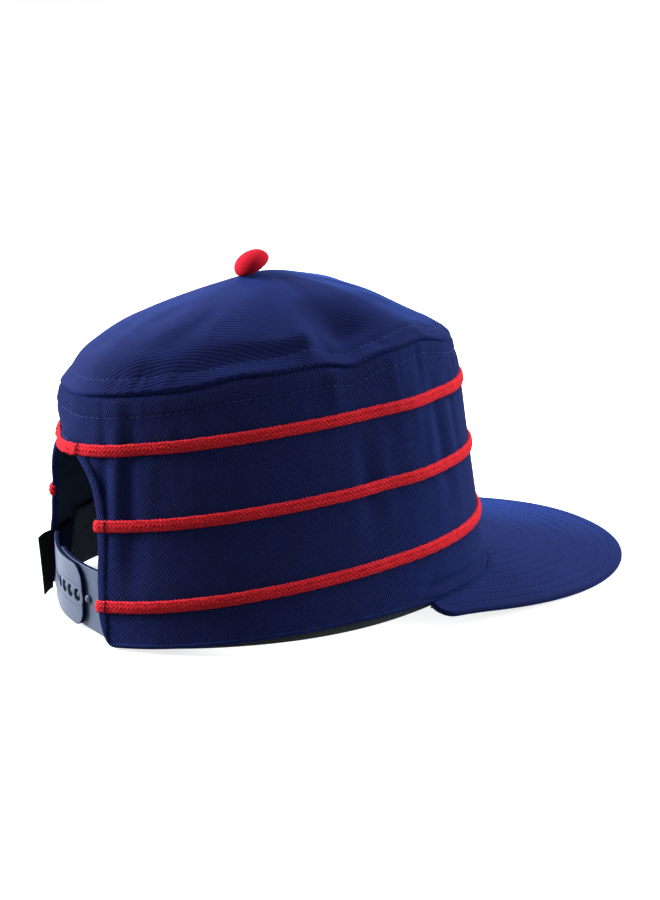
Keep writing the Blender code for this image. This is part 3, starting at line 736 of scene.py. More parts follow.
PRESSED_TURN = 342


def smooth_through(knots, values, where):
    """A curve through the values with no corner at them."""
    slopes = np.gradient(values, knots)
    span = np.clip(np.searchsorted(knots, where, side="right") - 1, 0, len(knots) - 2)
    width = knots[span + 1] - knots[span]
    share = (where - knots[span]) / width
    leaving = share * (1 - share) ** 2 * slopes[span] * width
    arriving = share * share * (share - 1) * slopes[span + 1] * width
    return lerp(values[span], values[span + 1], ease(share)) + leaving + arriving


def edge_height(turn):
    """The height of the panel's edge: it stands on the seam, and sits lower where it is flattened."""
    return seam_height(turn) + EDGE_STAND * (1 - 0.75 * swell(turn_apart(turn, PRESSED_TURN), 22))


def tent(turn, inward):
    """Points of the tented panel at shares of the way in from its edge to its peak."""
    edge = wall(turn, edge_height(turn))
    place = lerp(edge, PEAK, inward[..., None])
    knots, at_back, at_front = np.array(TENT).T
    back, front = smooth_through(knots, at_back, inward), smooth_through(knots, at_front, inward)
    place[..., 2] = lerp(edge[..., 2], PEAK[2], lerp(back, front, (1 + ahead_of(turn)) / 2))
    into = (CROWN_CENTRE - edge) * np.array([1.0, 1.0, 0.0])
    into = unit(unit(into) + np.array([0.0, 0.0, -1.0]))
    for dent in DENTS:
        across = swell(turn_apart(turn, dent.turn), dent.half_turn)
        along = swell(inward - dent.inward, dent.half_inward) * np.minimum(inward / DENT_FREE_SHARE, 1.0)
        place = place + into * (DENT_DEPTH * dent.depth * across * along)[..., None]
    return place


def lip(turn, angle):
    """The rolled edge: a part of a circle just inside the panel's outline."""
    height = edge_height(turn)
    middle = wall(turn, height, -LIP_RADIUS)
    outward = unit(wall(turn, height) - middle)
    upright = np.array([0.0, 0.0, 1.0])
    return middle + LIP_RADIUS * (np.cos(angle)[..., None] * outward + np.sin(angle)[..., None] * upright)


print("the peak stands", round(float(PEAK[2]) / MM, 1), "mm above the table")

# %% The top panel's points
TOP_COLUMNS = 440
TOP_ROWS = 60
TOP_BUNCHING = 1.55
TOP_START = 0.004
TOP_SPAN = 0.995
LIP_ROWS = 7
TOP_ROW_REACH = 7.8 * MM
FIRST_SOFT, LAST_SOFT = 2, 24
SOFTENINGS = 40
LEAST_ROUNDNESS = 0.12
LIP_CLEAR = 1.5 * MM
top_turns = np.arange(TOP_COLUMNS) * 360 / TOP_COLUMNS
turns, angles = np.meshgrid(top_turns, np.radians(np.linspace(-80, 20, LIP_ROWS)))
lip_points = lip(turns, angles)
top_shares = (np.arange(1, TOP_ROWS + 1) / TOP_ROWS) ** TOP_BUNCHING * TOP_SPAN + TOP_START
turns, inward = np.meshgrid(top_turns, top_shares)
top_points = np.concatenate([lip_points, tent(turns, inward)])

# The shoulder is rounded by averaging its rows, most of all where the seam is pressed flat.
roundness = lerp(LEAST_ROUNDNESS, 1.0, swell(turn_apart(top_turns, PRESSED_TURN), 24))[:, None]
soft = slice(FIRST_SOFT, LAST_SOFT)
for _ in range(SOFTENINGS):
    before, after = top_points[FIRST_SOFT - 1 : LAST_SOFT - 1], top_points[FIRST_SOFT + 1 : LAST_SOFT + 1]
    softer = (before + 2 * top_points[soft] + after) / 4
    top_points[soft] = lerp(top_points[soft], softer, roundness)

edge_puckers = scatter_puckers(11, 130, 0.34, (3, 8), (0.9, 2.0), (4, 7))
panel_swells = scatter_puckers(12, 60, 0.55, (12, 60), (3.0, 9.0), (6, 14))
from_edge = run_along(top_points)
lift = SEAM_ALLOWANCE * step_down(from_edge - TOP_ROW_REACH, 0.3 * MM)
lift = lift - STITCH_SINK * swell(from_edge - TOP_ROW_REACH, STITCH_SINK_REACH)
lift = lift + puckered(edge_puckers, top_turns, from_edge) + puckered(panel_swells, top_turns, from_edge)
lift = lift * (1 - swell(from_edge, LIP_CLEAR))
top_normals = grid_normals(top_points)
top_points = top_points + top_normals * lift[..., None]
print("top panel's edge is", round(float(top_points[0, :, 2].min()) / MM, 1), "mm up at its lowest")

# %% The top panel piece
top_mesh = grid_mesh("crown_top_cloth", top_points)
work = bmesh.new()
work.from_mesh(top_mesh)
work.verts.ensure_lookup_table()
last_ring = [work.verts[(len(top_points) - 1) * TOP_COLUMNS + i] for i in range(TOP_COLUMNS)]
bmesh.ops.contextual_create(work, geom=last_ring)
work.to_mesh(top_mesh)
work.free()
crown_top = thicken(place_piece("crown_top_cloth", top_mesh, top_twill, lining), CLOTH)
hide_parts("crown_top")
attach(crown_top, BODY)

# %% [markdown]
# The rear opening's edge is bound by a fold of the same cloth, sewn down a few millimetres in. Seen
# in section it is a soft loop round the wall's cut edge: up from the stitches, over the edge, and
# back along the inside. That section is carried up the arch and on round the rim, where it shrinks
# to a thin turned edge.

# %% The hem's line
HEM_SPACING = 1.1 * MM
STITCH_FROM_EDGE = 3.75 * MM


def cut_edge(spacing):
    """Turns and heights of the wall's cut edge: up the arch from the wearer's right, then round the rim."""
    height = OPENING_HEIGHT * np.sin(np.linspace(0.002, math.pi / 2, 500))
    half = opening_half_width(height)
    half[-1] = 0.0
    across = np.concatenate([-half, half[-2::-1]])
    height = np.concatenate([height, height[-2::-1]])
    turn = turn_at_many(across, height)
    rim_turns = np.linspace(turn[-1] - 0.6, turn[0] - 360 + 0.6, 900)
    turn = np.concatenate([turn, rim_turns])
    height = np.concatenate([height, foot_height(rim_turns)])
    run = run_along(wall(turn, height))
    even = np.arange(0, run[-1], spacing)
    return np.interp(even, run, turn), np.interp(even, run, height)


hem_turns, hem_heights = cut_edge(HEM_SPACING)
hem_edge = wall(hem_turns, hem_heights)
for _ in range(3):
    hem_edge = (np.roll(hem_edge, 1, axis=0) + 2 * hem_edge + np.roll(hem_edge, -1, axis=0)) / 4
hem_normals = wall_normal(hem_turns, hem_heights)
hem_ways = unit(np.roll(hem_edge, -1, axis=0) - np.roll(hem_edge, 1, axis=0))
hem_asides = unit(np.cross(hem_ways, hem_normals))
hem_run = np.arange(len(hem_edge)) * HEM_SPACING


def beside_edge(aside, outward):
    """Points that far from the cut edge, on the cloth's side of it, and that far out from the wall."""
    aside, outward = np.broadcast_arrays(aside, np.asarray(outward)[..., None])
    return hem_edge + hem_asides * aside + hem_normals * outward


print("hem runs", round(hem_run[-1] / MM), "mm round the opening and the rim")

# %% The hem
HEM_SECTION = (
    (4.1, -0.35), (4.0, 0.05), (3.5, 0.36), (2.8, 0.52), (1.9, 0.56), (1.0, 0.44), (0.3, 0.16),
    (-0.15, -0.25), (-0.30, -0.80), (-0.15, -1.35), (0.3, -1.75), (1.0, -1.95), (2.4, -2.00), (4.0, -1.80),
)
RIM_HEM_SHARE = 0.42
RIM_HEM_SHIFT = 0.35 * MM
HEM_CLIMB_START = 2 * MM
HEM_CLIMB = 7 * MM
climb = np.clip((hem_heights - HEM_CLIMB_START) / HEM_CLIMB, 0.0, 1.0)
behind_wall = np.abs(turn_apart(hem_turns, 180)) < 40
hem_share = np.where(behind_wall, lerp(RIM_HEM_SHARE, 1.0, ease(climb)), RIM_HEM_SHARE)[:, None]
edge_shift = RIM_HEM_SHIFT * (1 - hem_share)
waver = 0.12 * MM * np.sin(hem_run / (5.5 * MM)) + 0.10 * MM * np.sin(hem_run / (2.3 * MM) + 1)
hem_rows, hem_maps = [], []
for aside, outward in (*HEM_SECTION, HEM_SECTION[0]):
    outer = outward > -0.5
    hem_rows.append(beside_edge(aside * MM * hem_share + edge_shift, outward * MM + waver * outer))
    hem_maps.append(np.stack([hem_run, np.full(len(hem_run), aside * MM)], axis=-1))
hem_rows = np.array(hem_rows).transpose(1, 0, 2)
hem_map = np.array(hem_maps).transpose(1, 0, 2)
hem_ring = np.concatenate([hem_rows[:, :-1], hem_rows[:1, :-1]])
hem_map = np.concatenate([hem_map, hem_map[:1]])
hem_piece = place_piece("opening_hem", face_out(grid_mesh("opening_hem", hem_ring, hem_map)), hem_twill)
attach(hem_piece, BODY)

# %% [markdown]
# Stitches repeat along a line, so a node tree makes them: it walks the line at the stitch spacing and
# sets a short bent thread at each step, turned along the line and away from the cloth. One tree
# serves every row, with the sizes as named inputs.


# %% Tools for trees that make geometry
def new_tree(name, **inputs):
    """A tree with named inputs, given as label and kind, and the sockets that bring them in."""
    tree = bpy.data.node_groups.new(name, "GeometryNodeTree")
    for label, kind in {"Geometry": "Geometry", **inputs}.items():
        label = label.replace("_", " ")
        tree.interface.new_socket(label, in_out="INPUT", socket_type="NodeSocket" + kind)
    tree.interface.new_socket("Geometry", in_out="OUTPUT", socket_type="NodeSocketGeometry")
    return tree, add(tree, "NodeGroupInput").outputs


def end_tree(tree, geometry, finish):
    """The end of every tree: real, smooth geometry with its finish."""
    whole = add(tree, "GeometryNodeRealizeInstances", (geometry,))
    smooth = add(tree, "GeometryNodeSetShadeSmooth", (whole,))
    dressed = add(tree, "GeometryNodeSetMaterial", {"Geometry": smooth, "Material": finish})
    add(tree, "NodeGroupOutput", (dressed,))
    print("the", tree.name, "tree has", len(tree.nodes), "nodes")


def grow(carrier, tree, **values):
    """Runs a tree on an object with its named inputs set, and keeps the result as a plain mesh."""
    run = carrier.modifiers.new(tree.name, "NODES")
    run.node_group = tree
    for item in tree.interface.items_tree:
        name = item.name.lower().replace(" ", "_")
        if item.in_out == "INPUT" and name in values:
            run[item.identifier] = values[name]
    return settle(carrier)


def route(name, points, away, closed=False):
    """A line of points for a tree to follow, each with the way it faces away from the cloth."""
    count = len(points)
    edges = [(i, i + 1) for i in range(count - 1)] + ([(count - 1, 0)] if closed else [])
    mesh = bpy.data.meshes.new(name)
    mesh.from_pydata(np.asarray(points).tolist(), edges, [])
    mesh.attributes.new("away", "FLOAT_VECTOR", "POINT").data.foreach_set("vector", np.ravel(away))
    made = bpy.data.objects.new(name, mesh)
    bpy.context.scene.collection.objects.link(made)
    return made


# %% A tree that sews
ALIGN = "FunctionNodeAlignRotationToVector"
RANDOM = "FunctionNodeRandomValue"
TUBE = "GeometryNodeCurveToMesh"
sewing, given = new_tree(
    "sewing", Spacing="Float", Stitch_Length="Float", Thread="Float", Seed="Int", Finish="Material"
)
line = add(sewing, "GeometryNodeMeshToCurve", (given["Geometry"],))
walk = add(sewing, "GeometryNodeResampleCurve", {"Curve": line, "Length": given["Spacing"]}, mode="LENGTH")
ahead = add(sewing, ALIGN, {"Vector": add(sewing, "GeometryNodeInputTangent")}, axis="X")
away = add(sewing, ATTRIBUTE, {"Name": "away"}, data_type="FLOAT_VECTOR")
upright = add(sewing, ALIGN, {"Rotation": ahead, "Vector": away}, axis="Z", pivot_axis="X")
half = add(sewing, MATH, (given["Stitch Length"], 0.5), operation="MULTIPLY")
back = add(sewing, MATH, (half, -1.0), operation="MULTIPLY")
sunk = add(sewing, MATH, (given["Thread"], -1.2), operation="MULTIPLY")
proud = add(sewing, MATH, (given["Thread"], 1.6), operation="MULTIPLY")
first = add(sewing, COMBINE, {"X": back, "Z": sunk})
middle = add(sewing, COMBINE, {"Z": proud})
last = add(sewing, COMBINE, {"X": half, "Z": sunk})
bent = add(sewing, "GeometryNodeCurveQuadraticBezier", (5, first, middle, last))
section = add(sewing, "GeometryNodeCurvePrimitiveCircle", {"Resolution": 5, "Radius": given["Thread"]})
thread = add(sewing, TUBE, {"Curve": bent, "Profile Curve": section, "Fill Caps": True})
uneven = add(sewing, RANDOM, {"Min": 0.88, "Max": 1.06, "Seed": given["Seed"]}, data_type="FLOAT")
sewn = add(
    sewing, "GeometryNodeInstanceOnPoints",
    {"Points": walk, "Instance": thread, "Rotation": upright, "Scale": uneven},
)
end_tree(sewing, sewn, given["Finish"])

# %% Rows of topstitching
STITCH_PITCH = 2.9 * MM
STITCH_LENGTH = 1.9 * MM
THREAD_RADIUS = 0.13 * MM
STITCH_LIFT = 0.10 * MM
HEM_STITCH_LIFT = 0.30 * MM


def sew(name, points, away, finish, seed, closed=False, thread=THREAD_RADIUS):
    row = route(name, points, away, closed)
    grow(
        row, sewing,
        spacing=STITCH_PITCH, stitch_length=STITCH_LENGTH, thread=thread, seed=seed, finish=finish,
    )
    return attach(row, BODY)


fine_turns = np.arange(0, 360, 0.6)
row_heights = seam_height(fine_turns) - stitch_row_drop(fine_turns)
row_points = wall(fine_turns, row_heights, wall_relief(fine_turns, row_heights) + STITCH_LIFT)
sew("stitches_under_seam", row_points, wall_normal(fine_turns, row_heights), pale_thread, 3, closed=True)

columns = np.arange(TOP_COLUMNS)
over_rows = np.array([np.interp(TOP_ROW_REACH, from_edge[:, i], np.arange(len(from_edge))) for i in columns])
low_rows = over_rows.astype(int)
between = (over_rows - low_rows)[:, None]
row_points = lerp(top_points[low_rows, columns], top_points[low_rows + 1, columns], between)
row_normals = unit(lerp(top_normals[low_rows, columns], top_normals[low_rows + 1, columns], between))
sew("stitches_over_seam", row_points + row_normals * STITCH_LIFT, row_normals, pale_thread, 4, closed=True)

upright_part = behind_wall & (hem_heights > 4 * MM)
hem_stitches = beside_edge(STITCH_FROM_EDGE, HEM_STITCH_LIFT)[upright_part]
sew("stitches_on_hem", hem_stitches, hem_normals[upright_part], navy_thread, 5)

# %% [markdown]
# The cords are flat braids: a dozen yarns, half of them winding one way and half the other, each
# going over and under those it meets. A node tree lays them round a straight core first, where the
# sums are short, and then bends the whole braid along its route by sampling the route at each
# point's distance. Loose fibres are scattered on its outer side, since the real cord looks fuzzy.

# %% A tree that braids: yarns round a straight core
HOP_SHARE = 0.45
braiding, given = new_tree(
    "braiding", Yarns_Each_Way="Int", Lay="Float", Width="Float", Thickness="Float", Yarn_Radius="Float",
    Step="Float", Fibre_Density="Float", Fibre_Length="Float", Seed="Int", Finish="Material",
)
each_way, radius = given["Yarns Each Way"], given["Yarn Radius"]
core = add(braiding, "GeometryNodeMeshToCurve", (given["Geometry"],))
far = add(braiding, COMBINE, (add(braiding, "GeometryNodeCurveLength", (core,)),))
straight = add(braiding, "GeometryNodeCurvePrimitiveLine", {"End": far})
fine = add(braiding, "GeometryNodeResampleCurve", {"Curve": straight, "Length": given["Step"]}, mode="LENGTH")
yarn_count = add(braiding, MATH, (each_way, 2.0), operation="MULTIPLY")
seats = add(braiding, "GeometryNodePoints", (yarn_count,))
laid = add(braiding, "GeometryNodeInstanceOnPoints", {"Points": seats, "Instance": fine})
number = add(braiding, "GeometryNodeInputIndex")
numbered = add(
    braiding, "GeometryNodeStoreNamedAttribute", {"Geometry": laid, "Name": "yarn", "Value": number},
    data_type="INT", domain="INSTANCE",
)
yarns = add(braiding, "GeometryNodeRealizeInstances", (numbered,))
yarn = add(braiding, ATTRIBUTE, {"Name": "yarn"}, data_type="INT")
spot = add(braiding, "ShaderNodeSeparateXYZ", (add(braiding, "GeometryNodeInputPosition"),)).outputs
past_half = add(braiding, MATH, (yarn, 0.5), operation="ADD")
second = add(braiding, MATH, (past_half, each_way), operation="GREATER_THAN")
way = add(braiding, MATH, (second, -2.0, 1.0), operation="MULTIPLY_ADD")
wound = add(braiding, MATH, (spot["X"], given["Lay"]), operation="DIVIDE")
signed = add(braiding, MATH, (wound, way), operation="MULTIPLY")
start = add(braiding, MATH, (yarn, each_way), operation="DIVIDE")
phase = add(braiding, MATH, (signed, start), operation="ADD")
angle = add(braiding, MATH, (phase, 2 * math.pi), operation="MULTIPLY")
crossings = add(braiding, MATH, (wound, each_way), operation="MULTIPLY")
beat = add(braiding, MATH, (crossings, 2 * math.pi), operation="MULTIPLY")
over = add(braiding, MATH, (add(braiding, MATH, (beat,), operation="COSINE"), way), operation="MULTIPLY")
hop = add(braiding, MATH, (over, radius), operation="MULTIPLY")
hop = add(braiding, MATH, (hop, HOP_SHARE), operation="MULTIPLY")


def laid_out(size, wave):
    """One coordinate of a yarn that winds round an oval core of this size, hopping as it crosses."""
    half_size = add(braiding, MATH, (size, 0.5), operation="MULTIPLY")
    inner = add(braiding, MATH, (half_size, radius), operation="SUBTRACT")
    reach = add(braiding, MATH, (inner, hop), operation="ADD")
    return add(braiding, MATH, (reach, add(braiding, MATH, (angle,), operation=wave)), operation="MULTIPLY")


aside, proud = laid_out(given["Width"], "COSINE"), laid_out(given["Thickness"], "SINE")
wrapped = add(braiding, COMBINE, (spot["X"], aside, proud))
wound_yarns = add(braiding, "GeometryNodeSetPosition", {"Geometry": yarns, "Position": wrapped})
ring = add(braiding, "GeometryNodeCurvePrimitiveCircle", {"Resolution": 5, "Radius": radius})
body = add(braiding, TUBE, {"Curve": wound_yarns, "Profile Curve": ring, "Fill Caps": True})
print("the yarns take", len(braiding.nodes), "nodes")

# %% A tree that braids: loose fibres
FIBRE_RADIUS = 0.035 * MM
roots = add(
    braiding, "GeometryNodeDistributePointsOnFaces",
    {
        "Mesh": body,
        "Selection": add(braiding, MATH, (spot["Z"], 0.0), operation="GREATER_THAN"),
        "Density": given["Fibre Density"],
        "Seed": given["Seed"],
    },
)
rise = add(braiding, MATH, (given["Fibre Length"], 0.5), operation="MULTIPLY")
middle = add(braiding, COMBINE, {"Z": rise})
tip = add(braiding, COMBINE, {"X": given["Fibre Length"], "Z": rise})
hair = add(braiding, "GeometryNodeCurveQuadraticBezier", (3, (0.0, 0.0, 0.0), middle, tip))
hair_ring = add(braiding, "GeometryNodeCurvePrimitiveCircle", {"Resolution": 3, "Radius": FIBRE_RADIUS})
fibre = add(braiding, TUBE, {"Curve": hair, "Profile Curve": hair_ring, "Fill Caps": True})
full_turn = {"Min": 0.0, "Max": 2 * math.pi, "Seed": given["Seed"]}
spin = add(braiding, RANDOM, full_turn, data_type="FLOAT")
twist = add(
    braiding, "FunctionNodeRotateRotation",
    {"Rotation": roots.outputs["Rotation"], "Rotate By": add(braiding, COMBINE, {"Z": spin})},
    rotation_space="LOCAL",
)
hairs = add(braiding, "GeometryNodeInstanceOnPoints", {"Points": roots, "Instance": fibre, "Rotation": twist})
loose = add(braiding, "GeometryNodeRealizeInstances", (hairs,))
both = add(braiding, "GeometryNodeJoinGeometry", ([loose, body],))
print("with its fibres the tree has", len(braiding.nodes), "nodes")

# %% A tree that braids: bent along the route
facing = add(braiding, ATTRIBUTE, {"Name": "away"}, data_type="FLOAT_VECTOR")
sample = add(
    braiding, "GeometryNodeSampleCurve", {"Curves": core, "Length": spot["X"], "Value": facing},
    mode="LENGTH", data_type="FLOAT_VECTOR", use_all_curves=True,
)
away_here = add(braiding, VECTOR, (sample,), operation="NORMALIZE")
up_here = add(braiding, VECTOR, (away_here, sample.outputs["Tangent"]), operation="CROSS_PRODUCT")
up_here = add(braiding, VECTOR, (up_here,), operation="NORMALIZE")
across_part = add(braiding, VECTOR, {"Vector": up_here, "Scale": spot["Y"]}, operation="SCALE")
proud_part = add(braiding, VECTOR, {"Vector": away_here, "Scale": spot["Z"]}, operation="SCALE")
offset = add(braiding, VECTOR, (across_part, proud_part), operation="ADD")
bent_place = add(braiding, VECTOR, (sample.outputs["Position"], offset), operation="ADD")
bent_braid = add(braiding, "GeometryNodeSetPosition", {"Geometry": both, "Position": bent_place})
end_tree(braiding, bent_braid, given["Finish"])

# %% The three cords
BRAID = {
    "yarns_each_way": 6,
    "lay": 10.5 * MM,
    "width": CORD_WIDTH,
    "thickness": CORD_THICKNESS,
    "yarn_radius": 0.66 * MM,
    "step": 0.78 * MM,
    "fibre_density": 0.24e6,
    "fibre_length": 0.5 * MM,
}
CORD_OUT = 0.40 * MM
HEM_RISE = 0.55 * MM
RING_REACH = 0.012
BEND_RADIUS = 1.5 * MM
BEND_START = 0.9 * MM
BENDS = tuple(math.radians(bend) for bend in (25, 50, 75, 100, 125))


def turned_end(point, inner, out):
    """Points that carry a cord's end round the hem, with the ways they face."""
    onward = unit(point - inner)
    pivot = point - out * BEND_RADIUS
    faces = [math.cos(bend) * out + math.sin(bend) * onward for bend in BENDS]
    return [pivot + face * BEND_RADIUS for face in faces], faces


def cord_line(cord):
    """A cord's centre line and the way it faces: a ring, or a length that turns round the hems."""
    at_back = float(cord_height(np.array(180.0), cord))
    ring = at_back > OPENING_HEIGHT - CORD_WIDTH
    reach = RING_REACH if ring else float(opening_half_width(at_back))
    last = float(turn_at(reach + BEND_START, at_back))
    turns = np.arange(0, 360, 1.0) if ring else np.linspace(-last, last, 360)
    heights = cord_height(turns, cord)
    normals = wall_normal(turns, heights)
    across = np.abs(wall(turns, heights)[:, 0])
    over_hem = step_down(across - reach - 4 * MM, 0.5 * MM) * (ahead_of(turns) < 0)
    points = wall(turns, heights, CORD_OUT + HEM_RISE * over_hem)
    if not ring:
        bent, faces = turned_end(points[0], points[1], normals[0])
        first_points, first_normals = bent[::-1], faces[::-1]
        # The lower cord's left end runs in behind the label instead.
        bent, faces = turned_end(points[-1], points[-2], normals[-1]) if cord.name != "lower" else ([], [])
        points = np.array([*first_points, *points, *bent])
        normals = np.array([*first_normals, *normals, *faces])
    return points, normals, ring


for seed, cord in enumerate(CORDS):
    points, normals, closed = cord_line(cord)
    braid = route(f"cord_{cord.name}_braid", points, normals, closed)
    grow(braid, braiding, **BRAID, seed=seed, finish=cord_yarn)
    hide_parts(f"cord_{cord.name}")
    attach(braid, BODY)

# %% [markdown]
# Where each cord comes to the opening, a dark thread is sewn across it, to hold it on the hem. It is
# a short tube that arches over the cord and dips into the cloth at both sides.

# %% The threads across the cords
TIE_RADIUS = 0.22 * MM
TIE_DIP = 0.3 * MM
TIE_SPAN_SHARE = 0.53
TIE_CLEARANCE = 0.02 * MM
TIE_FROM_EDGE = 3.6 * MM
RING_TIE_REACH = 0.0165


def tube(points, radius, sides=6):
    """Rings of points round a line, for a thin round thread."""
    ways = unit(np.gradient(points, axis=0))
    beside = unit(np.cross(ways, ways + np.array([0.31, 0.57, 0.11])))
    above = np.cross(ways, beside)
    bends = np.arange(sides) * 2 * math.pi / sides
    return np.stack([points + radius * (math.cos(b) * beside + math.sin(b) * above) for b in bends], axis=1)


def tie_down(cord, turn, number):
    """A thread over the cord at a turn."""
    spans = np.linspace(-1, 1, 11)
    heights = cord_height(np.array(turn), cord) + spans * CORD_WIDTH * TIE_SPAN_SHARE
    lift = CORD_OUT + HEM_RISE + CORD_THICKNESS / 2 + TIE_CLEARANCE
    outward = lerp(-TIE_DIP, lift, (1 - spans**4) ** 0.5)
    mesh = face_out(grid_mesh("tie", tube(wall(turn, heights, outward), TIE_RADIUS), caps=True))
    made = place_piece(f"cord_tie_{cord.name}_{number}", mesh, navy_thread)
    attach(made, BODY)


for cord in CORDS:
    at_back = float(cord_height(np.array(180.0), cord))
    reach = RING_TIE_REACH if cord.name == "upper" else float(opening_half_width(at_back)) + TIE_FROM_EDGE
    for number, side in enumerate((1, -1)):
        tie_down(cord, float(turn_at(side * reach, at_back)), number)

# %% [markdown]
# The button is a small metal cap covered with red cloth. The cloth is pulled tight over the dome and
# gathered underneath, so its edge is round and slightly uneven. It is turned from a profile, and it
# leans backwards against the panel, beside the peak.

# %% The button
BUTTON_WIDTH = 0.0156
BUTTON_RISE = 0.0086
BUTTON_RIM_SHARE = 0.38
BUTTON_UNDER_SHARE = 0.9
BUTTON_SQUARENESS = 0.92
BUTTON_LEAN = 29.0
BUTTON_COLUMNS = 96
BUTTON_ROWS = 40
GATHERS = 23
GATHER_SHARE = 0.012


def button_points():
    """The dome standing upright at the origin: an oval profile, flattened underneath."""
    radius, rim = BUTTON_WIDTH / 2, BUTTON_RISE * BUTTON_RIM_SHARE
    bends = np.radians(np.linspace(-88, 89.5, BUTTON_ROWS))
    ways = np.radians(np.arange(BUTTON_COLUMNS) * 360 / BUTTON_COLUMNS)
    bend, way = np.meshgrid(bends, ways, indexing="ij")
    reach = radius * np.cos(bend) ** BUTTON_SQUARENESS
    rise = np.where(bend > 0, BUTTON_RISE - rim, rim * BUTTON_UNDER_SHARE)
    level = rim + rise * np.sin(bend)
    gathers = 1 + GATHER_SHARE * np.sin(way * GATHERS) * swell(bend + 0.7, 0.5)
    return np.stack([reach * gathers * np.cos(way), reach * gathers * np.sin(way), level], axis=-1)


lean = np.array(Matrix.Rotation(-math.radians(BUTTON_LEAN), 3, "X"))
leaning = button_points() @ lean.T
box_middle = (np.array(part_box("button")[0]) + np.array(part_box("button")[1])) / 2
own_middle = (leaning.reshape(-1, 3).min(axis=0) + leaning.reshape(-1, 3).max(axis=0)) / 2
button_mesh = grid_mesh("button_cover", leaning + box_middle - own_middle, caps=True)
button = place_piece("button_cover", button_mesh, button_cloth)
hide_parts("button")
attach(button, BODY)

# %% [markdown]
# The brim is a stiff board between two cloths. The navy upper cloth wraps the edge, and rows of
# stitches run round it, each row one spacing further in, so the board shows as faint ridges. A
# distance from the edge gives both the ridges and the stitch lines.

# %% The brim's form
BRIM_WIDEST_BACK = 0.0384
BRIM_CORNER = 0.0050
BRIM_ROUNDNESS = 2.21
BRIM_COLUMNS = 220
ROOT_INSIDE = 0.5 * MM


def brim_outline(steps):
    """The brim's outer edge from its tail at the wearer's right, round the tip, to the left."""
    widest = -RIM_FRONT_REACH + BRIM_WIDEST_BACK
    corner = np.radians(np.linspace(90, 0, 8))
    side = BRIM_SIDE - BRIM_CORNER + BRIM_CORNER * np.cos(corner)
    start = np.stack([side, brim_tail - BRIM_CORNER + BRIM_CORNER * np.sin(corner)], axis=-1)
    bend = np.radians(np.linspace(0, 90, steps))
    power = 2 / BRIM_ROUNDNESS
    reach = BRIM_LENGTH + BRIM_WIDEST_BACK
    round_side, round_ahead = BRIM_SIDE * np.cos(bend) ** power, reach * np.sin(bend) ** power
    round_part = np.stack([round_side, widest - round_ahead], axis=-1)
    half = np.concatenate([start, round_part])
    return np.concatenate([half * np.array([-1.0, 1.0]), half[-2::-1]])


def respace(line, count):
    """The same line with its points evenly apart."""
    run = run_along(line)
    even = np.linspace(0, run[-1], count)
    return np.stack([np.interp(even, run, line[:, axis]) for axis in range(line.shape[1])], axis=-1)


outline = respace(brim_outline(400), BRIM_COLUMNS)
root_turns = np.linspace(-tail_turn, tail_turn, BRIM_COLUMNS)
roots = wall(root_turns, brim_top(*plan(root_turns, BRIM_HEIGHT).T), -ROOT_INSIDE) - CROWN_CENTRE


def from_outline(places):
    """How far places on the brim are from its outer edge."""
    flat = places.reshape(-1, 2)
    nearest = np.full(len(flat), np.inf)
    for chunk in np.array_split(outline, 40):
        nearest = np.minimum(nearest, np.linalg.norm(flat[:, None] - chunk[None], axis=-1).min(axis=1))
    return nearest.reshape(places.shape[:-1])


print("brim is", round(float(np.ptp(outline[:, 1])) / MM), "mm from its tail to its tip")

# %% The brim's pieces
UPPER_THICKNESS = 2.5 * MM
UNDER_DROP = 2.0 * MM
UNDER_THICKNESS = 0.9 * MM
UNDER_INSET = 2.2 * MM
BRIM_ROW_SPACING = 5.6 * MM
BRIM_ROWS = 11
BRIM_GRID_ROWS = 48
BRIM_BUNCHING = 0.65
RIDGE_REACH = 0.7 * MM
ROOT_VALLEY = 1.5 * MM
VALLEY_REACH = 1.4 * MM
NOSE_BENDS = np.radians((65, 40, 15, -15, -40, -65))


def brim_shell(name, drop, thickness, inset, look, groove):
    """A closed layer of the brim: out along the top, round the edge and back underneath."""
    ways = unit(outline - roots[:, :2])
    radius = thickness / 2
    rim = outline - ways * inset - ways * radius
    even = np.linspace(0, 1, BRIM_GRID_ROWS)
    shares = lerp(even, (1 - np.cos(math.pi * even)) / 2, BRIM_BUNCHING)
    flat = roots[None, :, :2] + (rim - roots[:, :2])[None] * shares[:, None, None]
    depth = from_outline(flat)
    grooves = [swell(depth - BRIM_ROW_SPACING * k, RIDGE_REACH) for k in range(1, BRIM_ROWS)]
    ridge = groove * np.sum(grooves, axis=0)
    level = brim_top(flat[..., 0], flat[..., 1]) - drop
    valley = ROOT_VALLEY * swell(np.linalg.norm(flat - roots[:, :2], axis=-1), VALLEY_REACH)
    upper = np.concatenate([flat, (level - ridge - valley)[..., None]], axis=-1)
    lower = np.concatenate([flat, (level - thickness + ridge)[..., None]], axis=-1)
    noses = []
    for bend in NOSE_BENDS:
        height = brim_top(rim[:, 0], rim[:, 1]) - drop - radius + radius * math.sin(bend)
        noses.append(np.concatenate([rim + ways * radius * math.cos(bend), height[:, None]], axis=-1))
    rows = np.concatenate([upper, np.array(noses), lower[::-1]]) + CROWN_CENTRE
    rows = rows[::-1].transpose(1, 0, 2)
    return place_piece(name, face_out(grid_mesh(name, rows, caps=True)), look)


brim = brim_shell("brim_upper_cloth", 0.0, UPPER_THICKNESS, 0.0, brim_twill, 0.16 * MM)
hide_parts("brim")
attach(brim, BODY)
under = brim_shell("brim_under_cloth", UNDER_DROP, UNDER_THICKNESS, UNDER_INSET, under_cotton, 0.12 * MM)
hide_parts("brim_under")
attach(under, BODY)

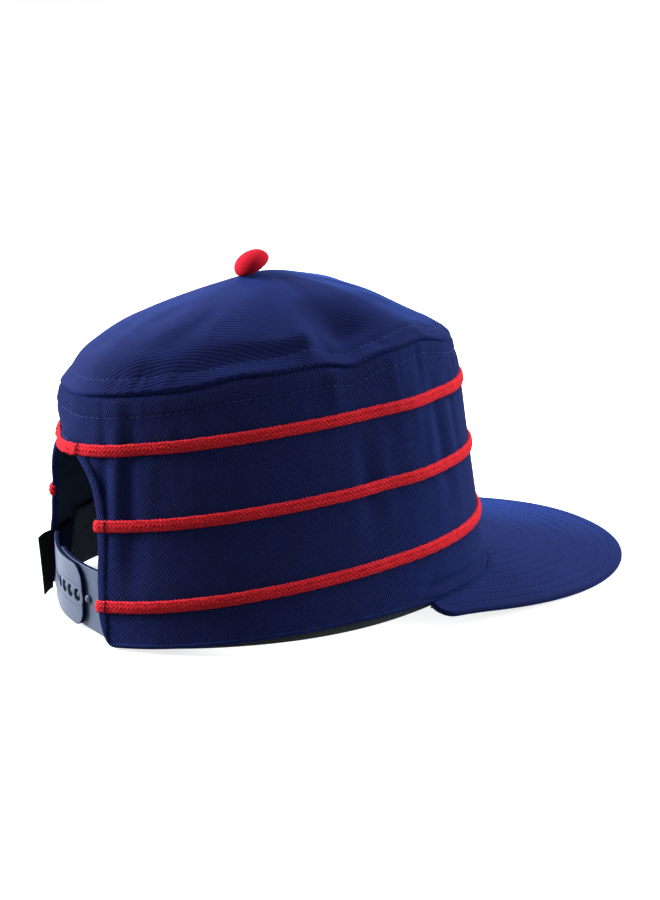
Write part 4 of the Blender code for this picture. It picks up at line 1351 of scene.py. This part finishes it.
# %% The brim's stitch rows
BRIM_THREAD_RADIUS = 0.08 * MM
BRIM_STITCH_DEPTH = 0.04 * MM
CLEAR_OF_CORNER = 0.35 * MM
CLEAR_OF_WALL = 1.5 * MM
ways = unit(np.gradient(outline, axis=0))
inward = np.stack([-ways[:, 1], ways[:, 0]], axis=-1)
inward = inward * np.sign(inward[BRIM_COLUMNS // 2, 1])
for k in range(1, BRIM_ROWS):
    inset = BRIM_ROW_SPACING * k
    line = outline + inward * inset
    line = line[from_outline(line) > inset - CLEAR_OF_CORNER]
    turn = np.degrees(np.arctan2(line[:, 0], -line[:, 1]))
    wall_reach = np.linalg.norm(plan(turn, BRIM_HEIGHT), axis=-1)
    line = line[np.linalg.norm(line, axis=-1) > wall_reach + CLEAR_OF_WALL]
    height = brim_top(line[:, 0], line[:, 1]) - BRIM_STITCH_DEPTH
    points = np.concatenate([line, height[:, None]], axis=-1) + CROWN_CENTRE
    facing = np.tile([0.0, 0.0, 1.0], (len(points), 1))
    sew(f"brim_stitches_{k}", points, facing, brim_thread, 20 + k, thread=BRIM_THREAD_RADIUS)

# %% [markdown]
# Inside the rim runs a band of grey-green twill, padded by its folded edges. Only a sliver of it
# shows below the wall from outside, but it is plain to see from behind, through the opening. Its
# section is given as shares of its height and its thickness.

# %% The sweatband
BAND_THICKNESS = 0.0012
BAND_HEIGHT = 0.0300
BAND_DROP = 0.0032
BAND_LOWEST = 0.0006
BAND_GAP = 0.00045
STRAP_THICKNESS = 0.0018
STRAP_ROOT_LAP = 0.0145
BAND_COLUMNS = 260
BAND_SECTION = (
    (0.00, 0.35), (0.004, 0.10), (0.02, 0.0), (0.06, 0.0), (0.94, 0.0), (0.98, 0.0),
    (1.0, 0.30), (1.0, 0.70), (0.98, 1.0), (0.90, 1.15), (0.80, 0.85), (0.50, 1.0),
    (0.20, 0.85), (0.10, 1.15), (0.02, 1.0), (0.00, 0.75),
)
band_end = float(turn_at(OPENING_HALF_WIDTH + STRAP_ROOT_LAP + STRAP_THICKNESS, BAND_HEIGHT / 2))
band_turns = np.linspace(-band_end, band_end, BAND_COLUMNS)
band_low = np.maximum(rim_height(band_turns) - BAND_DROP * np.sin(np.radians(band_turns)) ** 6, BAND_LOWEST)
band_rows = []
for share, depth in BAND_SECTION:
    inner = -CLOTH - BAND_GAP - BAND_THICKNESS * depth
    band_rows.append(wall(band_turns, band_low + BAND_HEIGHT * share, inner))
band_points = np.array(band_rows).transpose(1, 0, 2)
band_run = run_along(band_points[:, 0])
band_up = np.array([share * BAND_HEIGHT for share, _ in (*BAND_SECTION, BAND_SECTION[0])])
band_map = np.stack(np.meshgrid(band_run, band_up, indexing="ij"), axis=-1)
band_mesh = face_out(grid_mesh("sweatband_twill", band_points, band_map, caps=True))
band = place_piece("sweatband_twill", band_mesh, band_cotton)
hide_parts("sweatband")
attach(band, BODY)
print("band is", round(float(band_run[-1]) / MM), "mm long")

# %% [markdown]
# The strap is moulded flat and bends when it is worn. It is modelled the same way: a flat pattern
# with its rounded end, holes and engraved oval, drawn as outlines and filled, then sliced into short
# lengths so that it can bend, and laid along the opening. Snap studs stand on the inner half.

# %% The strap's place
STRAP_HEIGHT = 0.0258
STRAP_BOTTOM = 0.0014
STRAP_SAG = 0.0054
STRAP_LEAN_SHARE = 0.10
STRAP_HELD_LAP = 0.0065
OUTER_END_X = -0.0220
INNER_END_X = 0.0170
STRAP_END_RADIUS = 0.0075
SNAP_PITCH = 0.0072
STUD_CLEARANCE = 0.0011
STUD_DIAMETER = 0.0034
STUD_RISE = 0.0014
STUD_COUNT = 6
HOLE_COUNT = 7
HOLE_DIAMETER = 0.0054
SEAT_GAP = 0.0003
STRAP_MIDDLE = STRAP_BOTTOM + STRAP_HEIGHT / 2
FIRST_STUD = OUTER_END_X - STUD_DIAMETER / 2 - STUD_CLEARANCE
hole_xs = [FIRST_STUD + SNAP_PITCH * (i + 1) for i in range(HOLE_COUNT)]


def strap_place(x, height, layer, depth):
    """Points that deep behind a strap's outer face; layer 0 is the outer strap."""
    turn = turn_at(x, STRAP_MIDDLE)
    held = np.clip(x / (OPENING_HALF_WIDTH + STRAP_HELD_LAP), -1.0, 1.0)
    step = STRAP_THICKNESS + SEAT_GAP
    root = CLOTH + SEAT_GAP + step * (held - 1) / 2
    inward = root + STRAP_SAG * (1 - np.abs(held) ** 3) + layer * step + depth
    lean = lerp(STRAP_LEAN_SHARE, 1.0, held**8)
    place = wall(turn, STRAP_MIDDLE + (height - STRAP_MIDDLE) * lean, -inward)
    place[..., 2] = height + CROWN_CENTRE[2]
    return place


print("strap holes lie at", [round(x / MM, 1) for x in hole_xs], "mm from the middle")

# %% Flat patterns of the strap
EDGE_BEVEL = 0.28 * MM
ENGRAVED_DEPTH = 0.32 * MM
ENGRAVED_LINE = 0.70 * MM
OVAL_HALF_HEIGHT = 4.7 * MM
OVAL_END = 5.2 * MM
ROOT_RADIUS = 0.5 * MM


def rounded_bar(low_x, high_x, half_height, left_radius, right_radius, steps=10):
    """The outline of a bar with rounded ends, around the strap's middle line."""
    points = []
    corners = (
        (high_x - right_radius, half_height - right_radius, right_radius, 0),
        (low_x + left_radius, half_height - left_radius, left_radius, 90),
        (low_x + left_radius, -half_height + left_radius, left_radius, 180),
        (high_x - right_radius, -half_height + right_radius, right_radius, 270),
    )
    for x, y, radius, start in corners:
        for step in range(steps + 1):
            angle = math.radians(start + 90 * step / steps)
            points.append((x + radius * math.cos(angle), y + radius * math.sin(angle)))
    return points


def circle(x, radius, steps=28):
    angles = [2 * math.pi * step / steps for step in range(steps)]
    return [(x + radius * math.cos(angle), radius * math.sin(angle)) for angle in angles]


def filled_plate(name, outlines, thickness):
    """A flat plate with rounded edges from nested outlines, its back at zero."""
    shape = bpy.data.curves.new(name, "CURVE")
    shape.dimensions = "2D"
    shape.fill_mode = "BOTH"
    shape.bevel_depth = EDGE_BEVEL if thickness > 2 * EDGE_BEVEL else thickness / 3
    shape.bevel_resolution = 2
    shape.offset = -shape.bevel_depth
    shape.extrude = thickness / 2 - shape.bevel_depth
    for outline in outlines:
        line = shape.splines.new("POLY")
        line.points.add(len(outline) - 1)
        line.use_cyclic_u = True
        for point, (x, y) in zip(line.points, outline):
            point.co = (x, y, 0.0, 1.0)
    holder = bpy.data.objects.new(name, shape)
    bpy.context.scene.collection.objects.link(holder)
    view = bpy.context.evaluated_depsgraph_get()
    mesh = bpy.data.meshes.new_from_object(holder.evaluated_get(view), depsgraph=view)
    bpy.data.objects.remove(holder)
    work = bmesh.new()
    work.from_mesh(mesh)
    bmesh.ops.remove_doubles(work, verts=work.verts, dist=1e-6)
    bmesh.ops.translate(work, verts=work.verts, vec=(0.0, 0.0, thickness / 2))
    return work


strap_root = OPENING_HALF_WIDTH + STRAP_ROOT_LAP
outer_outline = rounded_bar(OUTER_END_X, strap_root, STRAP_HEIGHT / 2, STRAP_END_RADIUS, ROOT_RADIUS)
inner_outline = rounded_bar(-strap_root, INNER_END_X, STRAP_HEIGHT / 2, ROOT_RADIUS, STRAP_END_RADIUS)
holes = [circle(x, HOLE_DIAMETER / 2) for x in hole_xs]
oval_low, oval_high = hole_xs[0] - OVAL_END, hole_xs[-1] + OVAL_END
oval = rounded_bar(oval_low, oval_high, OVAL_HALF_HEIGHT, OVAL_HALF_HEIGHT, OVAL_HALF_HEIGHT)
inner_half = OVAL_HALF_HEIGHT - ENGRAVED_LINE
inner_low, inner_high = oval_low + ENGRAVED_LINE, oval_high - ENGRAVED_LINE
inner_oval = rounded_bar(inner_low, inner_high, inner_half, inner_half, inner_half)
print("engraved oval is", round((oval_high - oval_low) / MM, 1), "mm long")

# %% The strap's pieces
SLICE = 1.4 * MM
HOLE_RIM = 0.3 * MM
SHARP_ANGLE = 38
FACES_OUT = 0.6


def bend_strap(name, work, layer, back, shade_whole_plate=False):
    """Slices a flat plate across its length, marks faces for painted shade, then lays it along the opening.
    """
    low = min(vertex.co.x for vertex in work.verts)
    high = max(vertex.co.x for vertex in work.verts)
    for cut in np.arange(low + MM, high, SLICE):
        whole = work.verts[:] + work.edges[:] + work.faces[:]
        bmesh.ops.bisect_plane(work, geom=whole, plane_co=(cut, 0, 0), plane_no=(1, 0, 0), dist=1e-7)
    bmesh.ops.triangulate(work, faces=work.faces)
    # Painted shade: faces that don't face out, and the whole plate when asked, take the dark navy; hole walls
    # keep the slate.
    for face in work.faces:
        middle = face.calc_center_median()
        in_hole = any(math.hypot(middle.x - x, middle.y) < HOLE_DIAMETER / 2 + HOLE_RIM for x in hole_xs)
        face.material_index = int((face.normal.z < FACES_OUT or shade_whole_plate) and not in_hole)
    flat = np.array([vertex.co for vertex in work.verts])
    bent = strap_place(flat[:, 0], STRAP_MIDDLE + flat[:, 1], layer, back - flat[:, 2])
    for vertex, place in zip(work.verts, bent):
        vertex.co = place
    turn_out(work)
    mesh = bpy.data.meshes.new(name)
    work.to_mesh(mesh)
    work.free()
    mesh.shade_smooth()
    mesh.set_sharp_from_angle(angle=math.radians(SHARP_ANGLE))
    return place_piece(name, mesh, strap_plastic, strap_painted_shade)


# The base plate shows at its edges, hole walls and engraved floor; all but the hole walls take painted shade.
base = filled_plate("strap_base", [outer_outline, *holes], STRAP_THICKNESS - ENGRAVED_DEPTH)
outer_base = bend_strap("strap_outer_base", base, 0, STRAP_THICKNESS, shade_whole_plate=True)
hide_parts("strap_left")
face = filled_plate("strap_face", [outer_outline, oval, inner_oval, *holes], ENGRAVED_DEPTH * 2)
outer_face = bend_strap("strap_outer_face", face, 0, ENGRAVED_DEPTH * 2)
inner_plate = filled_plate("strap_inner", [inner_outline], STRAP_THICKNESS)
inner_strap = bend_strap("strap_inner", inner_plate, 1, STRAP_THICKNESS)
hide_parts("strap_right")
for piece in (outer_base, outer_face, inner_strap):
    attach(piece, BODY)

# %% [markdown]
# The studs repeat along the inner strap, so they are set on points by a tree: each is a short stem
# with a domed head. The points carry the way they face, as the stitch lines do.

# %% The studs
STEM_SHARE = 0.62
HEAD_SHARE = 0.45
studding, given = new_tree("studding", Radius="Float", Rise="Float", Finish="Material")
dots = add(studding, "GeometryNodeMeshToPoints", {"Mesh": given["Geometry"], "Radius": 0.001})
facing = add(studding, ATTRIBUTE, {"Name": "away"}, data_type="FLOAT_VECTOR")
stand = add(studding, ALIGN, {"Vector": facing}, axis="Z")
stem_reach = add(studding, MATH, (given["Radius"], STEM_SHARE), operation="MULTIPLY")
stem_sizes = {"Radius Top": stem_reach, "Radius Bottom": given["Radius"], "Depth": given["Rise"]}
stem = add(studding, "GeometryNodeMeshCone", {"Vertices": 20, **stem_sizes})
ball = add(studding, "GeometryNodeMeshUVSphere", {"Segments": 20, "Rings": 10, "Radius": given["Radius"]})
flat_half = add(studding, MATH, (given["Radius"], HEAD_SHARE), operation="MULTIPLY")
head_height = add(studding, MATH, (given["Rise"], flat_half), operation="SUBTRACT")
head_place = add(studding, COMBINE, {"Z": head_height})
head = add(
    studding, "GeometryNodeTransform",
    {"Geometry": ball, "Translation": head_place, "Scale": (1.0, 1.0, HEAD_SHARE)},
)
one_stud = add(studding, "GeometryNodeJoinGeometry", ([stem, head],))
heads = add(
    studding, "GeometryNodeInstanceOnPoints", {"Points": dots, "Instance": one_stud, "Rotation": stand}
)
end_tree(studding, heads, given["Finish"])

stud_xs = FIRST_STUD + SNAP_PITCH * np.arange(STUD_COUNT)
stud_feet = strap_place(stud_xs, np.full(STUD_COUNT, STRAP_MIDDLE), 1, 0.0)
stud_heads = strap_place(stud_xs, np.full(STUD_COUNT, STRAP_MIDDLE), 1, -MM)
studs = route("strap_studs", stud_feet, unit(stud_heads - stud_feet))
grow(studs, studding, radius=STUD_DIAMETER / 2, rise=STUD_RISE, finish=strap_plastic)
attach(studs, BODY)

# %% [markdown]
# A small woven tab is sewn into the opening's edge at the wearer's left. It is a ribbon folded once,
# so its outer edge is a soft fold and its two layers lie together. It stays blank.

# %% The label
LABEL_TOP = 0.0274
LABEL_HEIGHT = 0.0256
LABEL_TOP_DEPTH = 0.0076
LABEL_LOW_DEPTH = 0.0052
LABEL_LEAN = 0.0014
LABEL_DROOP = 0.0020
LABEL_THICKNESS = 0.0010
LABEL_HEADING = 112.0
LABEL_CURL = 0.35 * MM
LABEL_THINNING = 0.15
LABEL_ROWS = 26
LABEL_SECTION = 9
heading = math.radians(LABEL_HEADING)
label_out = np.array([math.cos(heading), math.sin(heading), 0.0])
label_across = np.array([math.sin(heading), -math.cos(heading), 0.0])
label_seat = float(opening_half_width(LABEL_TOP)) - SEAT_GAP
label_root = wall(turn_at(label_seat, LABEL_TOP), LABEL_TOP)
label_root = label_root - np.array([0.0, CLOTH / 2, CROWN_CENTRE[2]])


def label_point(down, share, thick, curl_share):
    """A point of the ribbon, that share of the way out to its fold and that far to one side."""
    out = LABEL_LEAN * down + lerp(LABEL_TOP_DEPTH, LABEL_LOW_DEPTH, down) * share
    curl = LABEL_CURL * math.sin(3.1 * curl_share + 2.0 * down)
    place = label_root + label_out * out + label_across * (thick + curl)
    height = LABEL_TOP - LABEL_DROOP * share**2 - LABEL_HEIGHT * down
    return [place[0], place[1], height + CROWN_CENTRE[2]]


out_shares = np.linspace(0, 0.93, LABEL_SECTION)
label_rows = []
for down in np.linspace(0, 1, LABEL_ROWS):
    sides = []
    for side in (1, -1):
        thick = side * LABEL_THICKNESS / 2 * (1 - LABEL_THINNING * out_shares)
        sides.append([label_point(down, share, half, share) for share, half in zip(out_shares, thick)])
    label_rows.append([*sides[0], label_point(down, 1.0, 0.0, 1.0), *sides[1][::-1]])
label_mesh = face_out(grid_mesh("label_tab_woven", np.array(label_rows), caps=True))
label = place_piece("label_tab_woven", label_mesh, label_weave)
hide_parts("label_tab")
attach(label, BODY)

# %% [markdown]
# The stage is plain: a pale paper floor that sweeps up into the backdrop, lit like a small product
# studio. Two broad soft lights stand beyond the brim, one overhead and one low, a third lights the
# cap's far back corner and a faint fourth its far side. The camera's side stays dim, as it is in the
# photograph. The paper glows a little, so it comes out white without lighting the cap.

# %% Floor and backdrop
FILL_LIGHT = 0.155
STAGE_PROFILE = ((1.2, 0.0), (2.2, 0.03), (2.9, 0.25), (3.3, 0.8), (3.4, 1.6), (3.4, 4.0))
ways = np.radians(np.arange(0, 360, 5))
rings = []
for reach, rise in STAGE_PROFILE:
    rings.append([(reach * math.cos(way), reach * math.sin(way), rise) for way in ways])
stage_mesh = grid_mesh("studio_sweep", np.array(rings)[::-1])
work = bmesh.new()
work.from_mesh(stage_mesh)
floor_edges = [edge for edge in work.edges if edge.is_boundary and edge.verts[0].co.z < MM]
bmesh.ops.holes_fill(work, edges=floor_edges)
work.to_mesh(stage_mesh)
work.free()
paper, paper_tree, paper_shader = new_finish(
    "studio_paper_white", 0.9,
    Base_Color=linear("f4f5f6"), Emission_Color=linear("ffffff"), Emission_Strength=0.75,
)
sweep = place_piece("studio_sweep", stage_mesh, paper)
sweep.visible_diffuse = False

world = bpy.data.worlds.new("studio")
bpy.context.scene.world = world
world.use_nodes = True
background = world.node_tree.nodes["Background"].inputs
background["Color"].default_value = linear("ffffff")
background["Strength"].default_value = FILL_LIGHT

# %% The lights
LIT_PLACE = Vector((0.0, 0.03, 0.06))
Lamp = namedtuple("Lamp", "name place size power")
LAMPS = (
    Lamp("overhead_front_softbox", (0.0, -0.95, 1.10), 0.9, 14.0),
    Lamp("front_softbox", (-0.60, -1.30, 0.50), 0.8, 12.0),
    Lamp("back_softbox", (0.80, 1.10, 0.70), 0.9, 42.0),
    Lamp("far_softbox", (1.20, 0.0, 0.80), 0.9, 7.5),
)
for lamp in LAMPS:
    data = bpy.data.lights.new(lamp.name, "AREA")
    data.shape = "DISK"
    data.size = lamp.size
    data.energy = lamp.power
    made = bpy.data.objects.new(lamp.name, data)
    bpy.context.scene.collection.objects.link(made)
    made.location = lamp.place
    made.rotation_euler = (LIT_PLACE - made.location).to_track_quat("-Z", "Y").to_euler()
    print(lamp.name, "gives", lamp.power, "W")

# %% [markdown]
# The camera stands behind the cap's right side, a little above it, with a long lens. Its place was
# worked out from where the cap's rim, seam and cords lie in the photograph.

# %% The camera
CAMERA_FROM_CROWN = Vector((-0.5393, 0.2349, 0.2104))
CAMERA_AHEAD = Vector((0.8679, -0.4292, -0.2502))
CAMERA_UP = Vector((0.2176, -0.1242, 0.9681))
LENS = 56.57
SENSOR = 36.0
camera_data = bpy.data.cameras.new("camera")
camera_data.lens = LENS
camera_data.sensor_width = SENSOR
camera_data.clip_start = 0.05
camera = bpy.data.objects.new("camera", camera_data)
bpy.context.scene.collection.objects.link(camera)
right = CAMERA_AHEAD.cross(CAMERA_UP).normalized()
upward = right.cross(CAMERA_AHEAD).normalized()
turned = Matrix((right, upward, -CAMERA_AHEAD.normalized())).transposed().to_4x4()
camera.matrix_world = Matrix.Translation(CAMERA_FROM_CROWN + Vector(CROWN_CENTRE)) @ turned
bpy.context.scene.camera = camera
bpy.context.scene.view_settings.view_transform = "Standard"
print("camera is", round(CAMERA_FROM_CROWN.length / MM), "mm from the crown's middle")
